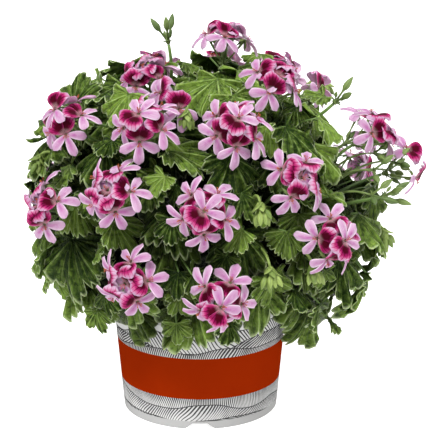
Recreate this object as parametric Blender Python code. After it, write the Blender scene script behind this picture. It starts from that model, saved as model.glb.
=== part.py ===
"""A pelargonium in bloom in its plastic pot, in metres with +Z up.

The origin is the middle of the pot's underside, and the front of the pot faces -Y.
The leafy stems stand in plain holes in the soil, and each flower head meets the end
of a stalk that grows from one of them.
"""

import math
import random

import bmesh
import bpy
from mathutils import Matrix, Vector
from mathutils.bvhtree import BVHTree

UP = Vector((0.0, 0.0, 1.0))
GOLDEN_ANGLE = math.pi * (3.0 - math.sqrt(5.0))
GAP = 0.0003
CLEARANCE = 0.0005

# The pot: a tapered wall on a foot ring, with a lip
POT_HEIGHT = 0.086
POT_FOOT_RADIUS = 0.0567
POT_TAPER = 0.093
POT_WALL = 0.0014
POT_SIDES = 32
LIP_HEIGHT = 0.0065
LIP_PROUD = 0.0011
LIP_STEP = 0.0004
FOOT_RING = 0.0018
FLOOR_HEIGHT = 0.0046
FLOOR_THICKNESS = 0.0014
CENTRE_FOOT_RADIUS = 0.011
NOTCH_COUNT = 3
NOTCH_BOTTOM = 0.022
NOTCH_TOP = 0.0105
NOTCH_HEIGHT = 0.0045
DRAIN_COUNT = 4
DRAIN_RADIUS = 0.004
DRAIN_CIRCLE = 0.038
DRAIN_START = 30.0
DRAIN_SIDES = 6
CUT_PAST = 0.002

# The soil and the holes that the stems stand in
SOIL_TOP = 0.076
SOIL_PLAY = 0.0004
HOLE_DEPTH = 0.022
HOLE_PLAY = 0.0005

# The stems: an outer ring that arches over the lip and an inner ring that stands up
OUTER_STEMS = 8
OUTER_FOOT = 0.033
OUTER_RISE = 4.0
OUTER_START = 20.0
INNER_STEMS = 4
INNER_FOOT = 0.013
INNER_RISE = 52.0
INNER_START = 42.0
STEM_REACH = 0.078
STEM_FREE = 0.006
STEM_LIFT = 0.042
STEM_LEAN = 0.016
STEM_STEPS = 4
STEM_RADIUS = 0.0031
STEM_TIP_RADIUS = 0.0017
STEM_SIDES = 5

# The crown: leaves lie on a rounded dome about its middle
CROWN_MIDDLE = Vector((0.004, 0.0, 0.150))
CROWN_WIDE = 0.125
CROWN_HIGH = 0.110
CROWN_LOW = 0.098
CROWN_FULLNESS = 3.5
LOWEST_LEAF = -0.62
LEVEL_LEAF = 0.8
LEAF_COUNT = 72
LEAF_LENGTH = 0.036
LEAF_THICKNESS = 0.0009
LEAF_TRIES = 40
PETIOLE_RADIUS = 0.0009
PETIOLE_REACH = 0.052
PETIOLE_ARCH = 0.14
PETIOLE_SET = 0.08
PETIOLE_STARTS = [0.3 + 0.1 * step for step in range(8)]
LEAF_SEED = 11

# How a leaf is tried out: shares of the dome it may stray, its depth there, size, width and ruffle
STRAY = 0.06
STRAY_MORE = 0.006
STRAY_ROUND = 1.6
LEAF_DEPTHS = (0.88, 1.02)
DEEPER = 0.005
LEAF_SIZES = (0.82, 1.16)
LEAF_WIDTHS = (0.72, 0.86)
LEAF_RUFFLES = (0.03, 0.07)
BLADE_MIDDLE = 0.45
TRIES_PER_STEM = 16
# How far its face looks outwards, up and astray, and how far its tip leans out and astray
FACE_OUT, FACE_UP, FACE_ASTRAY = 0.8, 0.45, 0.28
TIP_OUT, TIP_ASTRAY, TOP_TIP_ASTRAY = 0.35, 0.45, 0.5
# The airy side, where stalks reach out and no leaf lies: least x, lowest and highest z
OPEN_SIDE = (0.090, 0.166, 0.236)

# One flower: two broad upper petals and three narrow lower ones round a pedicel
FLOWER_THICKNESS = 0.0009
UPPER_PETAL = 0.0128
SIDE_PETAL = 0.0150
LOWER_PETAL = 0.0160
THROAT = 0.0030
THROAT_LOW = 0.0036
PEDICEL_RADIUS = 0.0008
PEDICEL_LENGTH = 0.0245
HEAD_LIFT = 0.12
HEAD_SPREAD = 36.0
HEAD_SPREAD_STEP = 1.4
HEAD_ROLL = 22.0
HEAD_TURN = 0.9
HEAD_DEPTH = 0.020
CENTRE_RISE = 0.0075
KNOB_REACH = 0.0032
KNOB_DEPTH = 0.0016
KNOB_RADIUS = 0.0016
STALK_RADIUS = 0.0014
STALK_SIDES = 3
STALK_SWELL = (1.2, 1.0, 1.0, 1.05)
STALK_BACK = 0.045
STALK_STARTS = (1.0, 0.9, 0.8, 0.7, 0.6, 0.5)
STALK_PULLS = (0.45, 0.3, 0.6, 0.2)
BUD_STALK = 0.0085
BUD_LENGTH = 0.0095
BUD_RADIUS = 0.0022
BUD_WIDEST = 0.45
BUD_TIP = 0.0005
BUD_SPREAD = 27.0
BUD_DEPTH = 0.014

# Room kept free round a flower: a cone from its pedicel's root to a drum about its face
GUARD_RADIUS = 0.0182
GUARD_BELOW = 0.0036
GUARD_ABOVE = 0.0030
GUARD_SIDES = 8

# Colours, roughnesses, and the angle from which an edge is drawn sharp
POT_WHITE = (0.75, 0.74, 0.72)
SOIL_BROWN = (0.045, 0.028, 0.018)
LEAF_GREEN = (0.10, 0.24, 0.05)
PETAL_PINK = (0.75, 0.30, 0.60)
BUD_GREEN = (0.28, 0.42, 0.14)
PLASTIC_ROUGH, SOIL_ROUGH, LEAF_ROUGH, PETAL_ROUGH = 0.4, 0.95, 0.55, 0.6
SHARP_FROM = 35.0

# Each head: degrees round from the front, degrees up, reach from the crown's middle, flowers
HEADS = (
    (-54, 35, 0.142, 6),
    (-51, 63, 0.117, 5),
    (-20, 37, 0.146, 6),
    (10, 36, 0.148, 7),
    (35, 52, 0.136, 4),
    (97, 50, 0.118, 2),
    (141, 79, 0.125, 4),
    (69, 28, 0.145, 3),
    (83, 14, 0.152, 2),
    (27, 21, 0.146, 4),
    (-49, 11, 0.146, 4),
    (-26, 18, 0.147, 5),
    (0, 14, 0.148, 6),
    (36, 4, 0.147, 6),
    (-20, -5, 0.148, 5),
    (4, -9, 0.149, 6),
    (-14, 52, 0.124, 2),
    (106, 22, 0.134, 3),
    (122, 4, 0.136, 4),
    (143, 44, 0.128, 4),
    (152, 18, 0.140, 4),
    (173, 40, 0.132, 4),
    (-177, 12, 0.142, 4),
    (-168, -9, 0.146, 3),
    (-150, 46, 0.124, 4),
    (-150, 17, 0.140, 3),
    (-126, 27, 0.134, 4),
    (-114, 4, 0.132, 3),
)

# Each bud spray: degrees round, degrees up, reach, buds
BUD_SPRAYS = (
    (-109, 77, 0.138, 3),
    (57, 41, 0.154, 2),
    (68, 10, 0.150, 3),
    (165, 66, 0.126, 3),
)


def direction(azimuth, elevation):
    """Unit vector at these degrees round from the front and up from level."""
    turn = math.radians(azimuth)
    rise = math.radians(elevation)
    return Vector((math.sin(turn) * math.cos(rise), -math.cos(turn) * math.cos(rise), math.sin(rise)))


def square_to(vector, axis):
    """The part of a vector that is square to the axis, as a unit vector."""
    return (vector - axis * vector.dot(axis)).normalized()


def bend(start, control, end, count):
    """Points along a quadratic curve, both ends included."""
    points = []
    for index in range(count + 1):
        t = index / count
        points.append(start * (1 - t) ** 2 + control * (2 * t * (1 - t)) + end * t * t)
    return points


def tube(points, radii, sides):
    """A closed tube through the points, one ring at each."""
    verts = []
    faces = []
    side = Vector((1.0, 0.0, 0.0))
    for index, point in enumerate(points):
        before = points[max(index - 1, 0)]
        after = points[min(index + 1, len(points) - 1)]
        along = (after - before).normalized()
        if index == 0 and abs(side.dot(along)) > 0.9:
            side = Vector((0.0, 1.0, 0.0))
        side = square_to(side, along)
        other = along.cross(side)
        for corner in range(sides):
            turn = 2 * math.pi * corner / sides
            verts.append(point + (side * math.cos(turn) + other * math.sin(turn)) * radii[index])
    for ring in range(len(points) - 1):
        for corner in range(sides):
            a = ring * sides + corner
            b = ring * sides + (corner + 1) % sides
            faces.append((a, b, b + sides))
            faces.append((a, b + sides, a + sides))
    last = (len(points) - 1) * sides
    faces.append(tuple(range(sides - 1, -1, -1)))
    faces.append(tuple(range(last, last + sides)))
    return verts, faces


class Leaf:
    """One leaf: where its stalk starts, where the blade starts, and how the blade lies."""

    def __init__(self, root, joint, forward, normal, length, width, ruffle):
        self.root = root
        self.joint = joint
        self.forward = forward
        self.normal = normal
        self.length = length
        self.width = width
        self.ruffle = ruffle


# Leaf outline from its right: degrees from forward, share of length, lift of the waved edge
LEAF_OUTLINE = (
    (-112, 0.60, 0.6),
    (-76, 0.52, -1.0),
    (-64, 0.82, 0.5),
    (-36, 0.88, 1.0),
    (-25, 0.72, -1.0),
    (-13, 0.98, 0.4),
    (13, 0.98, 0.4),
    (25, 0.72, -1.0),
    (36, 0.88, 1.0),
    (64, 0.82, 0.5),
    (76, 0.52, -1.0),
    (112, 0.60, 0.6),
)
LEAF_DROOP = 0.22


def leaf_shape(leaf, extra=0.0):
    """Vertices of a leaf with the faces of its blade and of its petiole, which share three corners."""
    lateral = leaf.forward.cross(leaf.normal)
    half = leaf.normal * (LEAF_THICKNESS / 2 + extra)
    edge = []
    for angle, reach, lift in LEAF_OUTLINE:
        turn = math.radians(angle)
        across = lateral * (-math.sin(turn) * reach * leaf.width)
        along = leaf.forward * (math.cos(turn) * reach * leaf.length)
        height = (lift * leaf.ruffle - LEAF_DROOP * reach * reach) * leaf.length
        edge.append(leaf.joint + across + along + leaf.normal * height)
    count = len(edge)
    middle = count // 2
    side = lateral * (PETIOLE_RADIUS + extra)
    verts = [point + half for point in edge] + [point - half for point in edge]
    right = 2 * count
    left, under = right + 1, right + 2
    verts += [leaf.joint + half + side, leaf.joint + half - side, leaf.joint - half]
    face = [(left, right, middle)]
    for i in range(count - 1):
        apex = right if i < middle else left
        face.append((apex, i, i + 1))
        face.append((under, i + 1 + count, i + count))
        face.append((i + count, i + 1 + count, i + 1))
        face.append((i + count, i + 1, i))
    last = count - 1
    face += [(right, under, count), (right, count, 0)]
    face += [(under, left, last), (under, last, last + count)]
    span = (leaf.joint - leaf.root).length
    control = (leaf.root + leaf.joint) / 2 + UP * (span * PETIOLE_ARCH) - leaf.normal * (span * PETIOLE_SET)
    path = bend(leaf.joint, control, leaf.root, 2)
    stalk = []
    ring = [right, left, under]
    across = lateral
    for index in (1, 2):
        toward = (path[index] - path[index - 1]).normalized()
        across = square_to(across, toward)
        above = toward.cross(across)
        start = len(verts)
        for spread in (across * 0.87 + above * 0.5, above * 0.5 - across * 0.87, -above):
            verts.append(path[index] + spread * (PETIOLE_RADIUS + extra))
        after = [start, start + 1, start + 2]
        for i in range(3):
            j = (i + 1) % 3
            stalk.append((ring[i], ring[j], after[j]))
            stalk.append((ring[i], after[j], after[i]))
        ring = after
    stalk.append((ring[0], ring[1], ring[2]))
    return verts, face, stalk


# Flower outline, anticlockwise from the upper pair of petals: degrees, reach, lift
FLOWER_OUTLINE = (
    (48, 0.92 * UPPER_PETAL, 0.0010),
    (75, UPPER_PETAL, 0.0022),
    (105, UPPER_PETAL, 0.0022),
    (132, 0.92 * UPPER_PETAL, 0.0010),
    (166, THROAT, 0.0),
    (193, 0.94 * SIDE_PETAL, -0.0016),
    (225, SIDE_PETAL, -0.0024),
    (240, THROAT_LOW, 0.0),
    (255, LOWER_PETAL, -0.0028),
    (285, LOWER_PETAL, -0.0028),
    (300, THROAT_LOW, 0.0),
    (315, SIDE_PETAL, -0.0024),
    (347, 0.94 * SIDE_PETAL, -0.0016),
    (14, THROAT, 0.0),
)
# The notches between petals are the corners of the flower's middle
NOTCHES = (4, 7, 10, 13)
UPPER_PAIR = ((13, 0, 1), (13, 1, 2), (13, 2, 4), (2, 3, 4))
LOWER_THREE = ((4, 5, 6), (4, 6, 7), (7, 8, 9), (7, 9, 10), (10, 11, 12), (10, 12, 13))
PETALS = UPPER_PAIR + LOWER_THREE
MIDDLE = ((4, 7, 13), (7, 10, 13))
# Underside of the middle: notches a to d are joined to the pedicel's corners p, q and r
UNDERSIDE = ("qba", "qcb", "rcq", "rdc", "pdr", "pad", "qap")


class Flower:
    """One flower: its pedicel's direction, its throat, its face's normal and its upward side."""

    def __init__(self, along, root, throat, normal, upward):
        self.along = along
        self.root = root
        self.throat = throat
        self.normal = normal
        self.upward = upward


def flower_shape(flower):
    """Petals and pedicel, open at the pedicel's root, whose three corners come last."""
    lateral = flower.upward.cross(flower.normal)
    top = []
    for angle, reach, lift in FLOWER_OUTLINE:
        turn = math.radians(angle)
        spread = lateral * (math.cos(turn) * reach) + flower.upward * (math.sin(turn) * reach)
        top.append(flower.throat + spread + flower.normal * lift)
    half = flower.normal * (FLOWER_THICKNESS / 2)
    count = len(top)
    verts = [point + half for point in top] + [point - half for point in top]
    faces = list(MIDDLE) + list(PETALS)
    faces += [(c + count, b + count, a + count) for a, b, c in PETALS]
    for i in range(count):
        j = (i + 1) % count
        faces.append((i + count, j + count, j))
        faces.append((i + count, j, i))
    for centre, axis in ((flower.throat - half, flower.normal), (flower.root, flower.along)):
        for angle in (90, 210, 330):
            turn = math.radians(angle)
            side = lateral * math.cos(turn) + flower.upward * math.sin(turn)
            verts.append(centre + square_to(side, axis) * PEDICEL_RADIUS)
    corner = {name: notch + count for name, notch in zip("abcd", NOTCHES)}
    corner.update({name: 2 * count + index for index, name in enumerate("pqr")})
    for name in UNDERSIDE:
        a, b, c = (corner[letter] for letter in name)
        faces.append((a, b, c))
    ring = 2 * count
    for i in range(3):
        j = (i + 1) % 3
        faces.append((ring + i, ring + 3 + i, ring + 3 + j))
        faces.append((ring + i, ring + 3 + j, ring + j))
    return verts, faces


def bud_shape(bud):
    """A pointed bud on its pedicel, open at the root, whose three corners come last."""
    along, root, side = bud
    other = along.cross(side)
    stations = (
        (BUD_STALK + BUD_LENGTH, BUD_TIP),
        (BUD_STALK + BUD_WIDEST * BUD_LENGTH, BUD_RADIUS),
        (BUD_STALK, PEDICEL_RADIUS),
        (0.0, PEDICEL_RADIUS),
    )
    verts = []
    for reach, radius in stations:
        for angle in (90, 210, 330):
            turn = math.radians(angle)
            spread = side * math.cos(turn) + other * math.sin(turn)
            verts.append(root + along * reach + spread * radius)
    faces = [(0, 1, 2)]
    for ring in (0, 3, 6):
        for i in range(3):
            j = (i + 1) % 3
            faces.append((ring + i, ring + 3 + i, ring + 3 + j))
            faces.append((ring + i, ring + 3 + j, ring + j))
    return verts, faces


def umbel(head, shapes):
    """Joins open pedicels to one knob: the hull of their root corners and of a flat underside."""
    verts = []
    faces = []
    roots = []
    for shape_verts, shape_faces in shapes:
        start = len(verts)
        verts += shape_verts
        faces += [tuple(start + index for index in face) for face in shape_faces]
        roots.append([len(verts) - 3, len(verts) - 2, len(verts) - 1])
    side = head.axis.orthogonal().normalized()
    other = head.axis.cross(side)
    under = []
    for corner in range(4):
        turn = math.pi / 2 * corner
        spread = side * math.cos(turn) + other * math.sin(turn)
        under.append(len(verts))
        verts.append(head.origin - head.axis * KNOB_DEPTH + spread * KNOB_RADIUS)
    corners = under + [index for root in roots for index in root]
    knob = bmesh.new()
    made = [knob.verts.new(verts[index]) for index in corners]
    bmesh.ops.convex_hull(knob, input=made)
    bmesh.ops.recalc_face_normals(knob, faces=knob.faces)
    knob.verts.index_update()
    open_faces = {frozenset(root) for root in roots}
    for face in knob.faces:
        hull = tuple(corners[vert.index] for vert in face.verts)
        if frozenset(hull) not in open_faces:
            faces.append(hull)
    knob.free()
    return verts, faces


class Head:
    """One umbel: the middle of its flowers, where their pedicels meet, its axis and their number."""

    def __init__(self, azimuth, elevation, reach, count, depth):
        outward = direction(azimuth, elevation)
        self.axis = (outward + UP * HEAD_LIFT).normalized()
        self.middle = CROWN_MIDDLE + outward * reach
        self.origin = self.middle - self.axis * depth
        self.count = count


def head_flowers(head, index):
    """The flowers of an umbel: a ring of up to six that rolls like a pinwheel, and one over it."""
    ring = head.count if head.count < 6 else head.count - 1
    side = head.axis.orthogonal().normalized()
    other = head.axis.cross(side)
    spread = math.radians(HEAD_SPREAD + HEAD_SPREAD_STEP * (ring - 5))
    flowers = []
    for place in range(ring):
        turn = HEAD_TURN * index + 2 * math.pi * place / max(ring, 3)
        outward = side * math.cos(turn) + other * math.sin(turn)
        along = head.axis * math.cos(spread) + outward * math.sin(spread)
        upward = head.axis * math.sin(spread) - outward * math.cos(spread)
        roll = Matrix.Rotation(math.radians(HEAD_ROLL), 3, upward)
        root = head.origin + along * KNOB_REACH
        flowers.append(Flower(along, root, head.origin + along * PEDICEL_LENGTH, roll @ along, upward))
    if ring < head.count:
        throat = head.origin + head.axis * (PEDICEL_LENGTH + CENTRE_RISE)
        flowers.append(Flower(head.axis, head.origin + head.axis * KNOB_REACH, throat, head.axis, side))
    return flowers


def spray_buds(spray, index):
    """The buds of a spray, each as its direction, its root and its outer side."""
    side = spray.axis.orthogonal().normalized()
    other = spray.axis.cross(side)
    spread = math.radians(BUD_SPREAD)
    buds = []
    for place in range(spray.count):
        turn = HEAD_TURN * index + 2 * math.pi * place / spray.count
        outward = side * math.cos(turn) + other * math.sin(turn)
        along = spray.axis * math.cos(spread) + outward * math.sin(spread)
        buds.append((along, spray.origin + along * KNOB_REACH, square_to(outward, along)))
    return buds


def flower_guard(flower):
    """The room that a flower takes: a cone from its pedicel's root to a drum about its face."""
    lateral = flower.upward.cross(flower.normal)
    verts = [flower.root]
    for height in (-GUARD_BELOW, GUARD_ABOVE):
        for corner in range(GUARD_SIDES):
            turn = 2 * math.pi * corner / GUARD_SIDES
            spread = lateral * math.cos(turn) + flower.upward * math.sin(turn)
            verts.append(flower.throat + flower.normal * height + spread * GUARD_RADIUS)
    faces = [tuple(range(GUARD_SIDES + 1, 2 * GUARD_SIDES + 1))]
    for corner in range(GUARD_SIDES):
        a = corner + 1
        b = (corner + 1) % GUARD_SIDES + 1
        faces.append((0, b, a))
        faces.append((a, b, b + GUARD_SIDES, a + GUARD_SIDES))
    return verts, faces


def knob_guard(head):
    """The room that the knob of an umbel takes."""
    points = [head.origin - head.axis * KNOB_DEPTH, head.origin + head.axis * (KNOB_REACH + CLEARANCE)]
    return tube(points, [KNOB_RADIUS + CLEARANCE, 2 * KNOB_RADIUS], GUARD_SIDES)


def bud_guard(bud):
    """The room that a bud takes."""
    along, root, _ = bud
    points = [root, root + along * BUD_STALK, root + along * (BUD_STALK + BUD_LENGTH)]
    radii = [PEDICEL_RADIUS + CLEARANCE, BUD_RADIUS + CLEARANCE, BUD_RADIUS + CLEARANCE]
    return tube(points, radii, GUARD_SIDES)


class Stem:
    """A stem: a straight foot in the soil and an arch to its tip."""

    def __init__(self, azimuth, elevation, foot):
        aim = direction(azimuth, elevation)
        flat = direction(azimuth, 0)
        self.foot = flat * foot
        self.foot.z = SOIL_TOP - HOLE_DEPTH + GAP
        self.tip = CROWN_MIDDLE + aim * STEM_REACH
        self.start = flat * foot + UP * (SOIL_TOP + STEM_FREE)
        self.control = self.start + UP * STEM_LIFT
        if foot == OUTER_FOOT:
            self.control += flat * STEM_LEAN
        self.arch = bend(self.start, self.control, self.tip, STEM_STEPS)
        self.leaves = []
        self.stalks = []

    def at(self, t):
        """The point at this share of the arch."""
        return self.start * (1 - t) ** 2 + self.control * (2 * t * (1 - t)) + self.tip * t * t

    def shape(self, extra=0.0):
        """The stem's tube, from its foot in the soil to its tip."""
        radii = [STEM_RADIUS + extra]
        for index in range(STEM_STEPS + 1):
            radii.append(STEM_RADIUS + (STEM_TIP_RADIUS - STEM_RADIUS) * index / STEM_STEPS + extra)
        return tube([self.foot] + self.arch, radii, STEM_SIDES)


def stalk_shape(stalk, extra=0.0):
    """A flower stalk that ends square, just short of the knob of its head."""
    root, control, end = stalk
    radii = [STALK_RADIUS * scale + extra for scale in STALK_SWELL]
    return tube(bend(root, control, end, len(radii) - 1), radii, STALK_SIDES)


def make_stems():
    """The outer ring of stems and then the inner one."""
    stems = []
    for index in range(OUTER_STEMS):
        azimuth = OUTER_START + 360.0 * index / OUTER_STEMS
        stems.append(Stem(azimuth, OUTER_RISE, OUTER_FOOT))
    for index in range(INNER_STEMS):
        azimuth = INNER_START + 360.0 * index / INNER_STEMS
        stems.append(Stem(azimuth, INNER_RISE, INNER_FOOT))
    return stems


class Room:
    """Keeps the shapes placed so far, and says whether a new one is clear of the others."""

    def __init__(self):
        self.placed = []

    def ball(self, shape):
        """A ball that holds the shape, for a quick first test."""
        middle = sum(shape[0], Vector()) / len(shape[0])
        return middle, max((point - middle).length for point in shape[0])

    def add(self, shape, owner):
        middle, radius = self.ball(shape)
        self.placed.append((BVHTree.FromPolygons(*shape), owner, middle, radius))

    def is_clear(self, shape, leave_out=()):
        tree = BVHTree.FromPolygons(*shape)
        middle, radius = self.ball(shape)
        for other, owner, place, reach in self.placed:
            if owner in leave_out or (place - middle).length > radius + reach:
                continue
            if tree.overlap(other):
                return False
        return True


def nearest_stems(stems, point):
    """Stems by how near the outer half of their arch comes to a point."""
    return sorted(stems, key=lambda stem: min((stem.at(t / 8) - point).length for t in range(3, 9)))


def stalk_choices(stems, head):
    """Ways to join a head to a stem, best first: a near stem, high on it, in an easy curve."""
    end = head.origin - head.axis * (KNOB_DEPTH + GAP)
    for stem in nearest_stems(stems, head.origin - head.axis * STALK_BACK)[:3]:
        for t in STALK_STARTS:
            root = stem.at(t)
            for pull in STALK_PULLS:
                control = end - head.axis * ((end - root).length * pull)
                yield stem, (root, control, end)


def place_stalks(stems, heads, room):
    """A stalk for each head from a near stem, the first that is clear of everything else."""
    for number, head in enumerate(heads):
        for stem, stalk in stalk_choices(stems, head):
            if room.is_clear(stalk_shape(stalk, CLEARANCE), (stem, number)):
                stem.stalks.append(stalk)
                room.add(stalk_shape(stalk), stem)
                break
        else:
            raise ValueError(f"no room for the stalk of head {number + 1}")


def crown_point(azimuth, rise, share):
    """A point of the leaf dome; rise is the sine of its elevation."""
    level = math.sqrt(max(1.0 - abs(rise) ** CROWN_FULLNESS, 0.0))
    high = CROWN_HIGH if rise > 0 else CROWN_LOW
    return CROWN_MIDDLE + Vector(
        (
            math.sin(azimuth) * level * CROWN_WIDE * share,
            -math.cos(azimuth) * level * CROWN_WIDE * share,
            rise * high * share,
        )
    )


def leaf_try(index, attempt, stems, rng):
    """One way to place a leaf: on the dome, its face outward and its tip hanging.

    Each further attempt may stray more, lies a little deeper and may use another stem.
    """
    loose = STRAY + STRAY_MORE * attempt
    rise = 1.0 - (index + 0.5) / LEAF_COUNT * (1.0 - LOWEST_LEAF)
    rise = min(max(rise + rng.uniform(-loose, loose), LOWEST_LEAF), 0.995)
    azimuth = index * GOLDEN_ANGLE + rng.uniform(-STRAY_ROUND, STRAY_ROUND) * loose
    middle = crown_point(azimuth, rise, rng.uniform(*LEAF_DEPTHS) - DEEPER * attempt)
    outward = (middle - CROWN_MIDDLE).normalized()
    wander = Vector((rng.uniform(-1, 1), rng.uniform(-1, 1), rng.uniform(-1, 1)))
    normal = (outward * FACE_OUT + UP * FACE_UP + wander * FACE_ASTRAY).normalized()
    hang = outward * TIP_OUT - UP + wander * TIP_ASTRAY
    if rise > LEVEL_LEAF:
        hang = outward + wander * TOP_TIP_ASTRAY
    forward = square_to(hang, normal)
    length = LEAF_LENGTH * rng.uniform(*LEAF_SIZES)
    width = length * rng.uniform(*LEAF_WIDTHS)
    joint = middle - forward * (length * BLADE_MIDDLE)
    stem = nearest_stems(stems, joint)[min(attempt // TRIES_PER_STEM, 2)]
    t = min(PETIOLE_STARTS, key=lambda share: abs((stem.at(share) - joint).length - PETIOLE_REACH))
    return stem, Leaf(stem.at(t), joint, forward, normal, length, width, rng.uniform(*LEAF_RUFFLES))


def in_open_side(leaf):
    middle = leaf.joint + leaf.forward * (leaf.length * BLADE_MIDDLE)
    return middle.x > OPEN_SIDE[0] and OPEN_SIDE[1] < middle.z < OPEN_SIDE[2]


def place_leaves(stems, room):
    """Leaves spread evenly over the dome, each where it first finds room."""
    for index in range(LEAF_COUNT):
        rng = random.Random(LEAF_SEED * 1000 + index)
        for attempt in range(LEAF_TRIES):
            stem, leaf = leaf_try(index, attempt, stems, rng)
            if in_open_side(leaf):
                continue
            verts, face, stalk = leaf_shape(leaf, CLEARANCE)
            if room.is_clear((verts, face)) and room.is_clear((verts, stalk), (stem,)):
                stem.leaves.append(leaf)
                verts, face, stalk = leaf_shape(leaf)
                room.add((verts, face), leaf)
                room.add((verts, stalk), stem)
                break


def wall_radius(height):
    """The outer radius of the pot's wall at a height."""
    return POT_FOOT_RADIUS + POT_TAPER * height


def pot_profile():
    """The pot's section as (radius, height), from the middle of its foot round to its floor."""
    lip_low = POT_HEIGHT - LIP_HEIGHT
    floor_top = FLOOR_HEIGHT + FLOOR_THICKNESS
    return [
        (0.0, 0.0),
        (CENTRE_FOOT_RADIUS, 0.0),
        (CENTRE_FOOT_RADIUS, FLOOR_HEIGHT),
        (POT_FOOT_RADIUS - FOOT_RING, FLOOR_HEIGHT),
        (POT_FOOT_RADIUS - FOOT_RING, 0.0),
        (POT_FOOT_RADIUS, 0.0),
        (wall_radius(lip_low), lip_low),
        (wall_radius(lip_low) + LIP_PROUD, lip_low + LIP_STEP),
        (wall_radius(POT_HEIGHT) + LIP_PROUD, POT_HEIGHT),
        (wall_radius(POT_HEIGHT) - POT_WALL, POT_HEIGHT),
        (wall_radius(floor_top) - POT_WALL, floor_top),
        (0.0, floor_top),
    ]


def soil_profile():
    """The soil's section as (radius, height): a plug just clear of the pot's floor and wall."""
    low = FLOOR_HEIGHT + FLOOR_THICKNESS + GAP
    inset = POT_WALL + SOIL_PLAY
    return [
        (0.0, low),
        (wall_radius(low) - inset, low),
        (wall_radius(SOIL_TOP) - inset, SOIL_TOP),
        (0.0, SOIL_TOP),
    ]


def turned(profile, sides):
    """A closed solid turned about Z from a profile that starts and ends level on the axis."""
    verts = []
    rings = []
    for radius, height in profile[1:-1]:
        rings.append(range(len(verts), len(verts) + sides))
        for corner in range(sides):
            turn = 2 * math.pi * (corner + 0.5) / sides
            verts.append(Vector((radius * math.cos(turn), radius * math.sin(turn), height)))
    faces = [tuple(reversed(rings[0])), tuple(rings[-1])]
    for low, high in zip(rings, rings[1:]):
        for corner in range(sides):
            after = (corner + 1) % sides
            faces.append((low[corner], low[after], high[after], high[corner]))
    return verts, faces


def lay_out():
    """The whole plant, with each stalk and leaf where it is clear of everything before it."""
    stems = make_stems()
    heads = [Head(*row, HEAD_DEPTH) for row in HEADS]
    sprays = [Head(*row, BUD_DEPTH) for row in BUD_SPRAYS]
    room = Room()
    room.add(turned(pot_profile(), POT_SIDES), "pot")
    room.add(turned(soil_profile(), POT_SIDES), "soil")
    for stem in stems:
        room.add(stem.shape(), stem)
    for number, head in enumerate(heads):
        room.add(knob_guard(head), number)
        for flower in head_flowers(head, number):
            room.add(flower_guard(flower), number)
    for number, spray in enumerate(sprays):
        room.add(knob_guard(spray), len(heads) + number)
        for bud in spray_buds(spray, number):
            room.add(bud_guard(bud), len(heads) + number)
    place_stalks(stems, heads + sprays, room)
    place_leaves(stems, room)
    return stems, heads, sprays


def clear_scene():
    for item in list(bpy.data.objects):
        bpy.data.objects.remove(item, do_unlink=True)


def material(name, colour, roughness):
    made = bpy.data.materials.new(name)
    made.use_nodes = True
    shader = made.node_tree.nodes["Principled BSDF"]
    shader.inputs["Base Color"].default_value = (*colour, 1.0)
    shader.inputs["Roughness"].default_value = roughness
    return made


def mesh_object(name, verts, faces):
    mesh = bpy.data.meshes.new(name)
    mesh.from_pydata(verts, [], faces)
    mesh.validate()
    item = bpy.data.objects.new(name, mesh)
    bpy.context.scene.collection.objects.link(item)
    return item


def finish(item, colour, roughness):
    """Gives the item its own material and smooth shading between gentle faces."""
    item.data.materials.clear()
    item.data.materials.append(material(item.name, colour, roughness))
    item.data.shade_smooth()
    item.data.set_sharp_from_angle(angle=math.radians(SHARP_FROM))


def apply_modifiers(item):
    graph = bpy.context.evaluated_depsgraph_get()
    done = bpy.data.meshes.new_from_object(item.evaluated_get(graph))
    old = item.data
    item.modifiers.clear()
    item.data = done
    bpy.data.meshes.remove(old)
    done.name = item.name


def combine(item, parts, operation):
    """One Boolean of the item with all the parts, applied, with the parts then removed."""
    group = bpy.data.collections.new(item.name + "_parts")
    bpy.context.scene.collection.children.link(group)
    for verts, faces in parts:
        piece = mesh_object(item.name + "_part", verts, faces)
        bpy.context.scene.collection.objects.unlink(piece)
        group.objects.link(piece)
    joined = item.modifiers.new("joined", "BOOLEAN")
    joined.operation = operation
    joined.solver = "MANIFOLD"
    joined.operand_type = "COLLECTION"
    joined.collection = group
    apply_modifiers(item)
    for piece in list(group.objects):
        bpy.data.objects.remove(piece, do_unlink=True)
    bpy.data.collections.remove(group)


def notch_cutter(azimuth):
    """A prism with a trapezoid section that cuts the foot ring from outside in."""
    out = direction(azimuth, 0)
    across = UP.cross(out)
    slope = (NOTCH_BOTTOM - NOTCH_TOP) / 2 / NOTCH_HEIGHT
    low_half = NOTCH_BOTTOM / 2 + slope * CUT_PAST
    verts = []
    for reach in (POT_FOOT_RADIUS - FOOT_RING - CUT_PAST, POT_FOOT_RADIUS + CUT_PAST):
        verts.append(out * reach + across * low_half - UP * CUT_PAST)
        verts.append(out * reach + across * (NOTCH_TOP / 2) + UP * NOTCH_HEIGHT)
        verts.append(out * reach - across * (NOTCH_TOP / 2) + UP * NOTCH_HEIGHT)
        verts.append(out * reach - across * low_half - UP * CUT_PAST)
    faces = [(3, 2, 1, 0), (4, 5, 6, 7)]
    for i in range(4):
        j = (i + 1) % 4
        faces.append((i, j, j + 4, i + 4))
    return verts, faces


def drain_cutter(azimuth):
    """A short prism through the floor."""
    centre = direction(azimuth, 0) * DRAIN_CIRCLE
    low = centre + UP * (FLOOR_HEIGHT - CUT_PAST)
    high = centre + UP * (FLOOR_HEIGHT + FLOOR_THICKNESS + CUT_PAST)
    return tube([low, high], [DRAIN_RADIUS, DRAIN_RADIUS], DRAIN_SIDES)


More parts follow.
